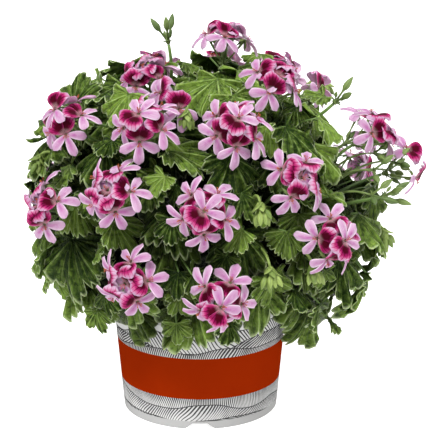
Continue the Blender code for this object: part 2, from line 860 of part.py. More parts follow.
def make_pot():
    pot = mesh_object("pot", *turned(pot_profile(), POT_SIDES))
    cutters = [notch_cutter(360.0 * index / NOTCH_COUNT) for index in range(NOTCH_COUNT)]
    cutters += [drain_cutter(DRAIN_START + 360.0 * index / DRAIN_COUNT) for index in range(DRAIN_COUNT)]
    combine(pot, cutters, "DIFFERENCE")
    finish(pot, POT_WHITE, PLASTIC_ROUGH)


def make_soil(stems):
    soil = mesh_object("soil", *turned(soil_profile(), POT_SIDES))
    radius = STEM_RADIUS + HOLE_PLAY
    holes = []
    for stem in stems:
        bottom = stem.foot - UP * GAP
        top = Vector((stem.foot.x, stem.foot.y, SOIL_TOP + CUT_PAST))
        holes.append(tube([bottom, top], [radius, radius], STEM_SIDES))
    combine(soil, holes, "DIFFERENCE")
    finish(soil, SOIL_BROWN, SOIL_ROUGH)


def make_leafy_stem(name, stem):
    """A stem with its flower stalks and leaves, as one body."""
    parts = [stalk_shape(stalk) for stalk in stem.stalks]
    for leaf in stem.leaves:
        verts, face, stalk = leaf_shape(leaf)
        parts.append((verts, face + stalk))
    item = mesh_object(name, *stem.shape())
    combine(item, parts, "UNION")
    finish(item, LEAF_GREEN, LEAF_ROUGH)


def build():
    clear_scene()
    stems, heads, sprays = lay_out()
    make_pot()
    make_soil(stems)
    for index, stem in enumerate(stems):
        make_leafy_stem(f"leafy_stem_{index + 1:02d}", stem)
    for number, head in enumerate(heads):
        flowers = [flower_shape(flower) for flower in head_flowers(head, number)]
        finish(mesh_object(f"flower_head_{number + 1:02d}", *umbel(head, flowers)), PETAL_PINK, PETAL_ROUGH)
    for number, spray in enumerate(sprays):
        buds = [bud_shape(bud) for bud in spray_buds(spray, number)]
        finish(mesh_object(f"bud_spray_{number + 1:02d}", *umbel(spray, buds)), BUD_GREEN, PETAL_ROUGH)


build()
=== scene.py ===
import math
import random
from collections import namedtuple

import bpy
import numpy as np
from mathutils import Matrix, Vector
from mathutils.bvhtree import BVHTree


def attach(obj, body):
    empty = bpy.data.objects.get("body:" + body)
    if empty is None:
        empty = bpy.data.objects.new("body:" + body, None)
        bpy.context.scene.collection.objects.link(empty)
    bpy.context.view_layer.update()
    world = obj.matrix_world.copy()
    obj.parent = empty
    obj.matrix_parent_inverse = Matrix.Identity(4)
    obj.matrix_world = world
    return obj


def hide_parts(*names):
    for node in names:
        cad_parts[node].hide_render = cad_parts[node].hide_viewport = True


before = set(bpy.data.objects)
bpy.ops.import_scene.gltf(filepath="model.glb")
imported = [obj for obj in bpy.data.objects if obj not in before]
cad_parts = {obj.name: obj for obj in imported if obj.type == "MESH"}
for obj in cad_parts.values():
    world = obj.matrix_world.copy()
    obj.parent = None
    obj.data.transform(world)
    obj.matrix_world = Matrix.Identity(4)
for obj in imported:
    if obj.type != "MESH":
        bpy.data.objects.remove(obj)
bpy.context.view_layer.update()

UP = Vector((0.0, 0.0, 1.0))
FULL_TURN = 2 * math.pi
GOLDEN_ANGLE = math.pi * (3.0 - math.sqrt(5.0))
GAP = 0.0003
CLEARANCE = 0.0005

# The pot: a tapered wall on a foot ring, with a lip
POT_HEIGHT = 0.086
POT_FOOT_RADIUS = 0.0567
POT_TAPER = 0.093
POT_WALL = 0.0014
POT_SIDES = 32
LIP_LOW = POT_HEIGHT - 0.0065
LIP_PROUD = 0.0011
LIP_STEP = 0.0004
FOOT_INSIDE = POT_FOOT_RADIUS - 0.0018
FLOOR_HEIGHT = 0.0046
FLOOR_TOP = FLOOR_HEIGHT + 0.0014
CENTRE_FOOT_RADIUS = 0.011
SOIL_TOP = 0.076
SOIL_INSET = POT_WALL + 0.0004

# The stems: an outer ring that arches over the lip and an inner ring that stands up, each as
# number, distance of their feet from the pot's middle, degrees up, degrees round of the first
OUTER_FOOT = 0.033
STEM_RINGS = ((8, OUTER_FOOT, 4.0, 20.0), (4, 0.013, 52.0, 42.0))
STEM_SINK = 0.022
STEM_REACH = 0.078
STEM_FREE = 0.006
STEM_LIFT = 0.042
STEM_LEAN = 0.016
STEM_STEPS = 4
STEM_RADIUS = 0.0031
STEM_TIP_RADIUS = 0.0017
STEM_SIDES = 5

# The crown: leaves lie on a rounded dome about its middle
CROWN_MIDDLE = Vector((0.004, 0.0, 0.150))
CROWN_WIDE = 0.125
CROWN_HIGH = 0.110
CROWN_LOW = 0.098
CROWN_FULLNESS = 3.5

# The leaves of the plan, which the CAD model has too
LEAF_COUNT = 72
LEAF_LENGTH = 0.036
LEAF_THICKNESS = 0.0009
LEAF_DROOP = 0.22
LEAF_SEED = 11
LEAF_TRIES = 40
TRIES_PER_STEM = 16
LOWEST_LEAF, LEVEL_LEAF, HIGHEST_LEAF = -0.62, 0.8, 0.995
BLADE_MIDDLE = 0.45
PETIOLE_RADIUS = 0.0009
PETIOLE_REACH = 0.052
PETIOLE_ARCH = 0.14
PETIOLE_SET = 0.08
PETIOLE_STARTS = [0.3 + 0.1 * step for step in range(8)]

# How a leaf is tried out: shares of the dome it may stray, its depth there, size, width, ruffle
STRAY = 0.06
STRAY_MORE = 0.006
STRAY_ROUND = 1.6
LEAF_DEPTHS = (0.88, 1.02)
DEEPER = 0.005
LEAF_SIZES = (0.82, 1.16)
LEAF_WIDTHS = (0.72, 0.86)
LEAF_RUFFLES = (0.03, 0.07)
# How far its face looks outwards, up and astray, how far its tip leans out and astray, and how
# far the tip goes astray near the top of the dome
LEAF_HABIT = (0.8, 0.45, 0.28, 0.35, 0.45, 0.5)
# The airy side, where stalks reach out and no leaf lies: least x, lowest and highest z
OPEN_SIDE = (0.090, 0.166, 0.236)

# Flower heads and bud sprays: stalks that spread from a knob at the end of one stalk
PEDICEL_RADIUS = 0.0008
PEDICEL_LENGTH = 0.0245
HEAD_LIFT = 0.12
HEAD_SPREAD = 36.0
HEAD_SPREAD_STEP = 1.4
HEAD_ROLL = 22.0
HEAD_TURN = 0.9
HEAD_DEPTH = 0.020
CENTRED_FROM = 6
CENTRE_RISE = 0.0075
KNOB_REACH = 0.0032
KNOB_DEPTH = 0.0016
KNOB_RADIUS = 0.0016
STALK_RADIUS = 0.0014
STALK_SIDES = 3
STALK_SWELL = (1.2, 1.0, 1.0, 1.05)
STALK_BACK = 0.045
STALK_STARTS = (1.0, 0.9, 0.8, 0.7, 0.6, 0.5)
STALK_PULLS = (0.45, 0.3, 0.6, 0.2)
BUD_STALK = 0.0085
BUD_LENGTH = 0.0095
BUD_RADIUS = 0.0022
BUD_SPREAD = 27.0
BUD_DEPTH = 0.014

# Room kept free round a flower: a cone from its pedicel's root to a drum about its face
GUARD_RADIUS = 0.0182
GUARD_HEIGHTS = (-0.0036, 0.0030)
GUARD_SIDES = 8

# Each head: degrees round from the front, degrees up, reach from the crown's middle, flowers
HEADS = (
    (-54, 35, 0.142, 6), (-51, 63, 0.117, 5), (-20, 37, 0.146, 6), (10, 36, 0.148, 7),
    (35, 52, 0.136, 4), (97, 50, 0.118, 2), (141, 79, 0.125, 4), (69, 28, 0.145, 3),
    (83, 14, 0.152, 2), (27, 21, 0.146, 4), (-49, 11, 0.146, 4), (-26, 18, 0.147, 5),
    (0, 14, 0.148, 6), (36, 4, 0.147, 6), (-20, -5, 0.148, 5), (4, -9, 0.149, 6),
    (-14, 52, 0.124, 2), (106, 22, 0.134, 3), (122, 4, 0.136, 4), (143, 44, 0.128, 4),
    (152, 18, 0.140, 4), (173, 40, 0.132, 4), (-177, 12, 0.142, 4), (-168, -9, 0.146, 3),
    (-150, 46, 0.124, 4), (-150, 17, 0.140, 3), (-126, 27, 0.134, 4), (-114, 4, 0.132, 3),
)

# Each bud spray: degrees round, degrees up, reach, buds
BUD_SPRAYS = ((-109, 77, 0.138, 3), (57, 41, 0.154, 2), (68, 10, 0.150, 3), (165, 66, 0.126, 3))


def direction(azimuth, elevation):
    """Unit vector at these degrees round from the front and up from level."""
    turn = math.radians(azimuth)
    rise = math.radians(elevation)
    level = math.cos(rise)
    return Vector((math.sin(turn) * level, -math.cos(turn) * level, math.sin(rise)))


def square_to(vector, axis):
    """The part of a vector that is square to the axis, as a unit vector."""
    return (vector - axis * vector.dot(axis)).normalized()


def around(turn, side, other):
    """The direction at an angle from side towards other, which are square to one another."""
    return side * math.cos(turn) + other * math.sin(turn)


def aside(axis, turn):
    """A direction square to an axis, turned about it."""
    return Matrix.Rotation(turn, 3, axis) @ axis.orthogonal().normalized()


def wander(rng):
    """A random vector that reaches up to 1 along each axis."""
    return Vector((rng.uniform(-1, 1), rng.uniform(-1, 1), rng.uniform(-1, 1)))


def bend_at(start, control, end, t):
    """The point at this share of a quadratic curve."""
    return start * (1 - t) ** 2 + control * (2 * t * (1 - t)) + end * t * t


def bend(start, control, end, count):
    """Points along a quadratic curve, both ends included."""
    return [bend_at(start, control, end, index / count) for index in range(count + 1)]


def taper(start, end, count):
    """Even steps from start to end, both included."""
    return [start + (end - start) * step / (count - 1) for step in range(count)]


def tube(points, radii, sides):
    """Vertices and faces of a closed tube through the points, one ring at each."""
    verts = []
    faces = []
    side = Vector((1.0, 0.0, 0.0))
    last = len(points) - 1
    for index, point in enumerate(points):
        along = (points[min(index + 1, last)] - points[max(index - 1, 0)]).normalized()
        if index == 0 and abs(side.dot(along)) > 0.9:
            side = Vector((0.0, 1.0, 0.0))
        side = square_to(side, along)
        other = along.cross(side)
        for corner in range(sides):
            verts.append(point + around(FULL_TURN * corner / sides, side, other) * radii[index])
    for ring in range(last):
        for corner in range(sides):
            a = ring * sides + corner
            b = ring * sides + (corner + 1) % sides
            faces += [(a, b, b + sides), (a, b + sides, a + sides)]
    faces.append(tuple(range(sides - 1, -1, -1)))
    faces.append(tuple(range(last * sides, (last + 1) * sides)))
    return verts, faces


def turned(profile, sides):
    """A closed solid turned about Z from a profile that starts and ends level on the axis."""
    verts = []
    rings = []
    for radius, height in profile[1:-1]:
        rings.append(range(len(verts), len(verts) + sides))
        for corner in range(sides):
            turn = FULL_TURN * (corner + 0.5) / sides
            verts.append(Vector((radius * math.cos(turn), radius * math.sin(turn), height)))
    faces = [tuple(reversed(rings[0])), tuple(rings[-1])]
    for low, high in zip(rings, rings[1:]):
        for corner in range(sides):
            after = (corner + 1) % sides
            faces.append((low[corner], low[after], high[after], high[corner]))
    return verts, faces


# A leaf: where its stalk starts, where its blade starts, how the blade lies, its sizes, how
# bright it is (the inner fill leaves darker, as painted shade), and its detail
Leaf = namedtuple("Leaf", "root joint forward normal length width ruffle shade detail")
# Columns to a tooth and rows of the blade, steps and sides of the stalk
PLAN_DETAIL = (5, 7, 8, 6)
FILL_DETAIL = (3, 5, 6, 4)

# Half the outline of a plain leaf: degrees from forward, share of length, lift of the waved edge
HALF_OUTLINE = (
    (112, 0.60, 0.6), (76, 0.52, -1.0), (64, 0.82, 0.5), (36, 0.88, 1.0), (25, 0.72, -1.0),
    (13, 0.98, 0.4),
)
LEAF_OUTLINE = [(-angle, reach, lift) for angle, reach, lift in HALF_OUTLINE]
LEAF_OUTLINE += HALF_OUTLINE[::-1]
# An upper corner of a leaf stalk's three-sided section: share of its radius across and above
PETIOLE_CORNER = (0.87, 0.5)


def petiole_curve(leaf):
    """The curve of a leaf's stalk, from its stem to its blade."""
    span = (leaf.joint - leaf.root).length
    control = (leaf.root + leaf.joint) / 2 + UP * (span * PETIOLE_ARCH)
    return leaf.root, control - leaf.normal * (span * PETIOLE_SET), leaf.joint


def leaf_shape(leaf, extra=0.0):
    """Vertices of a plain leaf with the faces of its blade and of its stalk."""
    lateral = leaf.forward.cross(leaf.normal)
    half = leaf.normal * (LEAF_THICKNESS / 2 + extra)
    edge = []
    for angle, reach, lift in LEAF_OUTLINE:
        turn = math.radians(angle)
        across = lateral * (-math.sin(turn) * reach * leaf.width)
        along = leaf.forward * (math.cos(turn) * reach * leaf.length)
        height = (lift * leaf.ruffle - LEAF_DROOP * reach * reach) * leaf.length
        edge.append(leaf.joint + across + along + leaf.normal * height)
    count = len(edge)
    middle = count // 2
    side = lateral * (PETIOLE_RADIUS + extra)
    verts = [point + half for point in edge] + [point - half for point in edge]
    right = 2 * count
    left, under = right + 1, right + 2
    verts += [leaf.joint + half + side, leaf.joint + half - side, leaf.joint - half]
    face = [(left, right, middle)]
    for i in range(count - 1):
        face.append((right if i < middle else left, i, i + 1))
        face.append((under, i + 1 + count, i + count))
        face.append((i + count, i + 1 + count, i + 1))
        face.append((i + count, i + 1, i))
    last = count - 1
    face += [(right, under, count), (right, count, 0)]
    face += [(under, left, last), (under, last, last + count)]
    root, control, joint = petiole_curve(leaf)
    path = bend(joint, control, root, 2)
    stalk = []
    ring = [right, left, under]
    across = lateral
    for index in (1, 2):
        toward = (path[index] - path[index - 1]).normalized()
        across = square_to(across, toward)
        above = toward.cross(across)
        start = len(verts)
        wide, high = across * PETIOLE_CORNER[0], above * PETIOLE_CORNER[1]
        for spread in (wide + high, high - wide, -above):
            verts.append(path[index] + spread * (PETIOLE_RADIUS + extra))
        after = [start, start + 1, start + 2]
        for i in range(3):
            j = (i + 1) % 3
            stalk += [(ring[i], ring[j], after[j]), (ring[i], after[j], after[i])]
        ring = after
    stalk.append(tuple(ring))
    return verts, face, stalk


class Flower(namedtuple("Flower", "root throat normal upward")):
    """A flower: its pedicel's root, its throat, its face's normal and its upward side."""

    @property
    def lateral(self):
        return self.upward.cross(self.normal)

    def ray(self, turn):
        """The direction in the plane of its face at this angle from its lateral side."""
        return around(turn, self.lateral, self.upward)


class Head:
    """One umbel or bud spray: where its stalks meet, its axis and the number that it carries."""

    def __init__(self, azimuth, elevation, reach, count, depth):
        outward = direction(azimuth, elevation)
        self.axis = (outward + UP * HEAD_LIFT).normalized()
        self.side = self.axis.orthogonal().normalized()
        self.origin = CROWN_MIDDLE + outward * reach - self.axis * depth
        self.count = count

    def spread(self, index, count, slots, spread):
        """Directions of stalks round the axis, each with its direction straight outwards."""
        other = self.axis.cross(self.side)
        for place in range(count):
            turn = HEAD_TURN * index + FULL_TURN * place / slots
            outward = around(turn, self.side, other)
            yield self.axis * math.cos(spread) + outward * math.sin(spread), outward

    def middle_flower(self, reach, upward):
        """A flower that looks along the axis, at this distance from where the stalks meet."""
        root = self.origin + self.axis * KNOB_REACH
        return Flower(root, self.origin + self.axis * reach, self.axis, upward)

    def flowers(self, index):
        """The flowers of an umbel: a ring that rolls like a pinwheel, and one over a large ring."""
        ring = self.count if self.count < CENTRED_FROM else self.count - 1
        spread = math.radians(HEAD_SPREAD + HEAD_SPREAD_STEP * (ring - 5))
        flowers = []
        for along, outward in self.spread(index, ring, max(ring, 3), spread):
            upward = self.axis * math.sin(spread) - outward * math.cos(spread)
            roll = Matrix.Rotation(math.radians(HEAD_ROLL), 3, upward)
            root = self.origin + along * KNOB_REACH
            throat = self.origin + along * PEDICEL_LENGTH
            flowers.append(Flower(root, throat, roll @ along, upward))
        if ring < self.count:
            flowers.append(self.middle_flower(PEDICEL_LENGTH + CENTRE_RISE, self.side))
        return flowers

    def buds(self, index):
        """The directions of a spray's buds."""
        spread = math.radians(BUD_SPREAD)
        return [along for along, _ in self.spread(index, self.count, self.count, spread)]


def flower_guard(flower):
    """The room that a flower takes: a cone from its pedicel's root to a drum about its face."""
    verts = [flower.root]
    for height in GUARD_HEIGHTS:
        for corner in range(GUARD_SIDES):
            spread = flower.ray(FULL_TURN * corner / GUARD_SIDES) * GUARD_RADIUS
            verts.append(flower.throat + flower.normal * height + spread)
    faces = [tuple(range(GUARD_SIDES + 1, 2 * GUARD_SIDES + 1))]
    for corner in range(GUARD_SIDES):
        a = corner + 1
        b = (corner + 1) % GUARD_SIDES + 1
        faces += [(0, b, a), (a, b, b + GUARD_SIDES, a + GUARD_SIDES)]
    return verts, faces


def knob_guard(head):
    """The room that the knob of an umbel takes."""
    points = [head.origin - head.axis * KNOB_DEPTH]
    points.append(head.origin + head.axis * (KNOB_REACH + CLEARANCE))
    return tube(points, [KNOB_RADIUS + CLEARANCE, 2 * KNOB_RADIUS], GUARD_SIDES)


def bud_guard(spray, along):
    """The room that a bud of a spray takes."""
    root = spray.origin + along * KNOB_REACH
    points = [root, root + along * BUD_STALK, root + along * (BUD_STALK + BUD_LENGTH)]
    radii = [PEDICEL_RADIUS + CLEARANCE, BUD_RADIUS + CLEARANCE, BUD_RADIUS + CLEARANCE]
    return tube(points, radii, GUARD_SIDES)


class Stem:
    """A stem: a straight foot in the soil and an arch to its tip."""

    def __init__(self, azimuth, elevation, foot):
        flat = direction(azimuth, 0)
        self.foot = flat * foot
        self.foot.z = SOIL_TOP - STEM_SINK + GAP
        start = flat * foot + UP * (SOIL_TOP + STEM_FREE)
        control = start + UP * STEM_LIFT
        if foot == OUTER_FOOT:
            control += flat * STEM_LEAN
        self.arch = (start, control, CROWN_MIDDLE + direction(azimuth, elevation) * STEM_REACH)
        self.leaves = []
        self.stalks = []

    def at(self, t):
        """The point at this share of the arch."""
        return bend_at(*self.arch, t)

    def line(self, steps):
        """Points and radii from the foot in the soil to the tip."""
        radii = [STEM_RADIUS] + taper(STEM_RADIUS, STEM_TIP_RADIUS, steps + 1)
        return [self.foot] + bend(*self.arch, steps), radii


def make_stems():
    """The outer ring of stems and then the inner one."""
    stems = []
    for count, foot, rise, start in STEM_RINGS:
        stems += [Stem(start + 360.0 * index / count, rise, foot) for index in range(count)]
    return stems


class Room:
    """Keeps the shapes placed so far, and says whether a new one is clear of the others."""

    def __init__(self):
        self.placed = []

    @staticmethod
    def ball(shape):
        """A ball that holds the shape, for a quick first test."""
        middle = sum(shape[0], Vector()) / len(shape[0])
        return middle, max((point - middle).length for point in shape[0])

    def add(self, shape, owner=None):
        self.placed.append((BVHTree.FromPolygons(*shape), owner, *self.ball(shape)))

    def is_clear(self, shape, leave_out=()):
        tree = BVHTree.FromPolygons(*shape)
        middle, radius = self.ball(shape)
        for other, owner, place, reach in self.placed:
            if owner in leave_out or (place - middle).length > radius + reach:
                continue
            if tree.overlap(other):
                return False
        return True


def nearest_stems(stems, point):
    """Stems by how near the outer part of their arch comes to a point."""
    shares = [step / 8 for step in range(3, 9)]
    return sorted(stems, key=lambda stem: min((stem.at(t) - point).length for t in shares))


def stalk_shape(curve, extra=0.0):
    """A flower stalk that ends square, just short of the knob of its head."""
    radii = [STALK_RADIUS * scale + extra for scale in STALK_SWELL]
    return tube(bend(*curve, len(radii) - 1), radii, STALK_SIDES)


def stalk_choices(stems, head):
    """Ways to join a head to a stem, best first: a near stem, high on it, in an easy curve."""
    end = head.origin - head.axis * (KNOB_DEPTH + GAP)
    for stem in nearest_stems(stems, head.origin - head.axis * STALK_BACK)[:3]:
        for t in STALK_STARTS:
            root = stem.at(t)
            for pull in STALK_PULLS:
                yield stem, (root, end - head.axis * ((end - root).length * pull), end)


def place_stalks(stems, heads, room):
    """A stalk for each head from a near stem, the first that is clear of everything else."""
    for number, head in enumerate(heads):
        for stem, curve in stalk_choices(stems, head):
            if room.is_clear(stalk_shape(curve, CLEARANCE), (stem, number)):
                stem.stalks.append(curve)
                room.add(stalk_shape(curve), stem)
                break
        else:
            raise ValueError(f"no room for the stalk of head {number + 1}")


def crown_point(azimuth, rise, share):
    """A point of the leaf dome; rise is the sine of its elevation."""
    level = math.sqrt(max(1.0 - abs(rise) ** CROWN_FULLNESS, 0.0))
    high = CROWN_HIGH if rise > 0 else CROWN_LOW
    x = math.sin(azimuth) * level * CROWN_WIDE * share
    y = -math.cos(azimuth) * level * CROWN_WIDE * share
    return CROWN_MIDDLE + Vector((x, y, rise * high * share))


def blade_lie(middle, rise, habit, rng):
    """Normal and forward direction of a blade on the dome: its face outward, its tip hanging."""
    face_out, face_up, face_astray, tip_out, tip_astray, top_tip_astray = habit
    outward = (middle - CROWN_MIDDLE).normalized()
    stray = wander(rng)
    normal = (outward * face_out + UP * face_up + stray * face_astray).normalized()
    hang = outward * tip_out - UP + stray * tip_astray
    if rise > LEVEL_LEAF:
        hang = outward + stray * top_tip_astray
    return normal, square_to(hang, normal)


def petiole_root(stem, joint, starts, reach):
    """The point of a stem from which a stalk of about this length reaches the joint."""
    return stem.at(min(starts, key=lambda t: abs((stem.at(t) - joint).length - reach)))


def leaf_try(index, attempt, stems, rng):
    """One way to place a leaf of the plan.

    Each further attempt may stray more, lies a little deeper and may use another stem.
    """
    loose = STRAY + STRAY_MORE * attempt
    rise = 1.0 - (index + 0.5) / LEAF_COUNT * (1.0 - LOWEST_LEAF)
    rise = min(max(rise + rng.uniform(-loose, loose), LOWEST_LEAF), HIGHEST_LEAF)
    azimuth = index * GOLDEN_ANGLE + rng.uniform(-STRAY_ROUND, STRAY_ROUND) * loose
    middle = crown_point(azimuth, rise, rng.uniform(*LEAF_DEPTHS) - DEEPER * attempt)
    normal, forward = blade_lie(middle, rise, LEAF_HABIT, rng)
    length = LEAF_LENGTH * rng.uniform(*LEAF_SIZES)
    width = length * rng.uniform(*LEAF_WIDTHS)
    joint = middle - forward * (length * BLADE_MIDDLE)
    stem = nearest_stems(stems, joint)[min(attempt // TRIES_PER_STEM, 2)]
    root = petiole_root(stem, joint, PETIOLE_STARTS, PETIOLE_REACH)
    ruffle = rng.uniform(*LEAF_RUFFLES)
    return stem, Leaf(root, joint, forward, normal, length, width, ruffle, 1.0, PLAN_DETAIL)


def in_open_side(leaf):
    """Whether a leaf lies in the airy side."""
    middle = leaf.joint + leaf.forward * (leaf.length * BLADE_MIDDLE)
    return middle.x > OPEN_SIDE[0] and OPEN_SIDE[1] < middle.z < OPEN_SIDE[2]


def place_leaves(stems, room):
    """Leaves spread evenly over the dome, each where it first finds room."""
    for index in range(LEAF_COUNT):
        rng = random.Random(LEAF_SEED * 1000 + index)
        for attempt in range(LEAF_TRIES):
            stem, leaf = leaf_try(index, attempt, stems, rng)
            if in_open_side(leaf):
                continue
            verts, face, stalk = leaf_shape(leaf, CLEARANCE)
            if room.is_clear((verts, face)) and room.is_clear((verts, stalk), (stem,)):
                stem.leaves.append(leaf)
                verts, face, stalk = leaf_shape(leaf)
                room.add((verts, face))
                room.add((verts, stalk), stem)
                break


def wall_radius(height):
    """The outer radius of the pot's wall at a height."""
    return POT_FOOT_RADIUS + POT_TAPER * height


def pot_profile():
    """The pot's section as (radius, height), from the middle of its foot round to its floor."""
    return [
        (0.0, 0.0),
        (CENTRE_FOOT_RADIUS, 0.0),
        (CENTRE_FOOT_RADIUS, FLOOR_HEIGHT),
        (FOOT_INSIDE, FLOOR_HEIGHT),
        (FOOT_INSIDE, 0.0),
        (POT_FOOT_RADIUS, 0.0),
        (wall_radius(LIP_LOW), LIP_LOW),
        (wall_radius(LIP_LOW) + LIP_PROUD, LIP_LOW + LIP_STEP),
        (wall_radius(POT_HEIGHT) + LIP_PROUD, POT_HEIGHT),
        (wall_radius(POT_HEIGHT) - POT_WALL, POT_HEIGHT),
        (wall_radius(FLOOR_TOP) - POT_WALL, FLOOR_TOP),
        (0.0, FLOOR_TOP),
    ]


def soil_profile():
    """The soil's section as (radius, height): a plug just clear of the pot's floor and wall."""
    low, top = FLOOR_TOP + GAP, SOIL_TOP
    rim = [(wall_radius(height) - SOIL_INSET, height) for height in (low, top)]
    return [(0.0, low), *rim, (0.0, top)]


def lay_out():
    """The whole plant, with each stalk and leaf where it is clear of everything before it."""
    stems = make_stems()
    heads = [Head(*row, HEAD_DEPTH) for row in HEADS]
    sprays = [Head(*row, BUD_DEPTH) for row in BUD_SPRAYS]
    room = Room()
    room.add(turned(pot_profile(), POT_SIDES), "pot")
    room.add(turned(soil_profile(), POT_SIDES), "soil")
    for stem in stems:
        room.add(tube(*stem.line(STEM_STEPS), STEM_SIDES), stem)
    for number, head in enumerate(heads):
        room.add(knob_guard(head), number)
        for flower in head.flowers(number):
            room.add(flower_guard(flower), number)
    for number, spray in enumerate(sprays):
        room.add(knob_guard(spray), len(heads) + number)
        for along in spray.buds(number):
            room.add(bud_guard(spray, along), len(heads) + number)
    place_stalks(stems, heads + sprays, room)
    place_leaves(stems, room)
    return stems, heads, sprays, room


def show(name, data):
    """A new object of the scene that shows the data."""
    piece = bpy.data.objects.new(name, data)
    bpy.context.scene.collection.objects.link(piece)
    return piece


class Skin:
    """Collects the points and quads of one mesh, with a UV and a tint for each point."""

    def __init__(self):
        self.blocks = []
        self.count = 0

    def add(self, points, quads, uv, tint, look=0):
        count = len(points)
        uv = np.broadcast_to(uv, (count, 2))
        tint = np.broadcast_to(tint, (count, 3))
        look = np.broadcast_to(look, (len(quads),))
        self.blocks.append((points, np.asarray(quads) + self.count, uv, tint, look))
        self.count += count

    def make(self, name, slot, nodes, materials):
        """The mesh as a piece that rides on the plant's one body and stands for its CAD nodes."""
        points, quads, uvs, tints, looks = map(np.concatenate, zip(*self.blocks))
        mesh = bpy.data.meshes.new(name)
        mesh.from_pydata(points, [], quads.tolist())
        mesh.polygons.foreach_set("material_index", looks)
        mesh.uv_layers.new(name="UVMap").data.foreach_set("uv", uvs[quads.ravel()].ravel())
        tint = mesh.color_attributes.new("tint", "FLOAT_COLOR", "POINT")
        tint.data.foreach_set("color", np.c_[tints, np.ones(len(points))].ravel())
        mesh.shade_smooth()
        for material in materials:
            mesh.materials.append(material)
        piece = show(name, mesh)
        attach(piece, "root")
        if nodes:
            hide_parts(*nodes)
        return piece


def grid_quads(rows, columns, closed=False):
    """Quads of a grid of points, row after row; a closed one joins its last column to its first."""
    row = np.arange(rows - 1)[:, None] * columns
    column = np.arange(columns if closed else columns - 1)[None, :]
    a = row + column
    b = row + (column + 1) % columns
    return np.stack([a, b, b + columns, a + columns], -1).reshape(-1, 4)


def closed_quads(rows, columns):
    """Quads of a closed grid, and then of the caps of its two ends."""
    cap = np.array([(0, k, k + 1, k + 2) for k in range(1, columns - 2, 2)])
    last = (rows - 1) * columns
    return np.concatenate([grid_quads(rows, columns, True), cap[:, ::-1], cap + last])


def stack(*values):
    """Grids of numbers, brought to one shape, as a grid of vectors."""
    return np.stack(np.broadcast_arrays(*values), -1)


def lay(origin, *parts):
    """A grid of points: an origin, and grids of distances each with its direction."""
    grid = np.array(origin)
    for distance, way in parts:
        grid = grid + distance[..., None] * np.array(way)
    return grid


def sheet(skin, grid, uv, tint, thickness, upper=0, under=0):
    """A thin closed solid about a grid of points (rows, columns, 3)."""
    rows, columns = grid.shape[:2]
    along, across = np.gradient(grid, axis=(0, 1))
    normal = np.cross(across, along)
    normal /= np.linalg.norm(normal, axis=2, keepdims=True) + 1e-12
    half = normal * thickness / 2
    count = rows * columns
    points = np.concatenate([(grid + half).reshape(-1, 3), (grid - half).reshape(-1, 3)])
    face = grid_quads(rows, columns)
    index = np.arange(count).reshape(rows, columns)
    edges = [index[0, :-1], index[:-1, -1], index[-1, :0:-1], index[:0:-1, 0]]
    ring = np.concatenate(edges)
    after = np.roll(ring, -1)
    rim = np.stack([after, ring, ring + count, after + count], -1)
    quads = np.concatenate([face, face[:, ::-1] + count, rim])
    looks = np.repeat([upper, under, upper], [len(face), len(face), len(rim)])
    uv = np.tile(uv.reshape(-1, 2), (2, 1))
    tint = np.tile(tint.reshape(-1, 3), (2, 1))
    skin.add(points, quads, uv, tint, looks)


def rod(skin, path, radii, tint, look=0, sides=6):
    """A closed tube along a path, with an even number of sides."""
    points = np.array(tube(path, radii, sides)[0])
    rings = len(path)
    around_it = np.tile(np.arange(sides) / sides, rings)
    onward = np.repeat(np.arange(rings) / (rings - 1), sides)
    skin.add(points, closed_quads(rings, sides), stack(around_it, onward), tint, look)


def bent_rod(skin, curve, steps, ends, tint, look=0, sides=6):
    """A rod along a quadratic curve that tapers from its first radius to its last."""
    rod(skin, bend(*curve, steps), taper(*ends, steps + 1), tint, look, sides)


# Fine outline of a leaf from its middle outwards: degrees, share of length, lift of its edge
LEAF_MARGIN = np.array((
    (0, 1.03, 0.2), (13, 0.97, 0.4), (25, 0.76, -1.0), (36, 0.91, 1.0), (50, 0.96, 0.8),
    (64, 0.86, 0.5), (76, 0.62, -1.0), (88, 0.72, 0.1), (100, 0.75, 0.4), (112, 0.60, 0.6),
))
MARGIN_DEPTHS = (0.7, 1.6)
TOOTH_PERIOD = 12.5
TOOTH_DEPTH = 0.11
TOOTH_LEVEL = 0.6
LEAF_TEETH = 18
LEAF_START = 0.012
LEAF_BODY = 0.00045
ROW_CROWDING = 0.8
LOBE_PERIOD = 50.0
# Pleats that fan out over a leaf: how many to a lobe, height as a share of its length
PLEATS = ((1, 0.050), (2, 0.036), (4, 0.034))
SIDE_BENDS = (-0.25, 0.22)
TIP_BENDS = (-0.16, 0.16)
# Frills of the edge: waves, and a height that fewer waves make larger
FRILLS = (3, 5, 8)
FRILL_HEIGHT = 0.300
# Half width, half depth and height of the crown, by which a leaf's place inside it is told, for the
# painted shade deep inside it
CROWN_SIZE = np.array((0.145, 0.145, 0.125))
CROWN_TOP_SIZE = 0.097


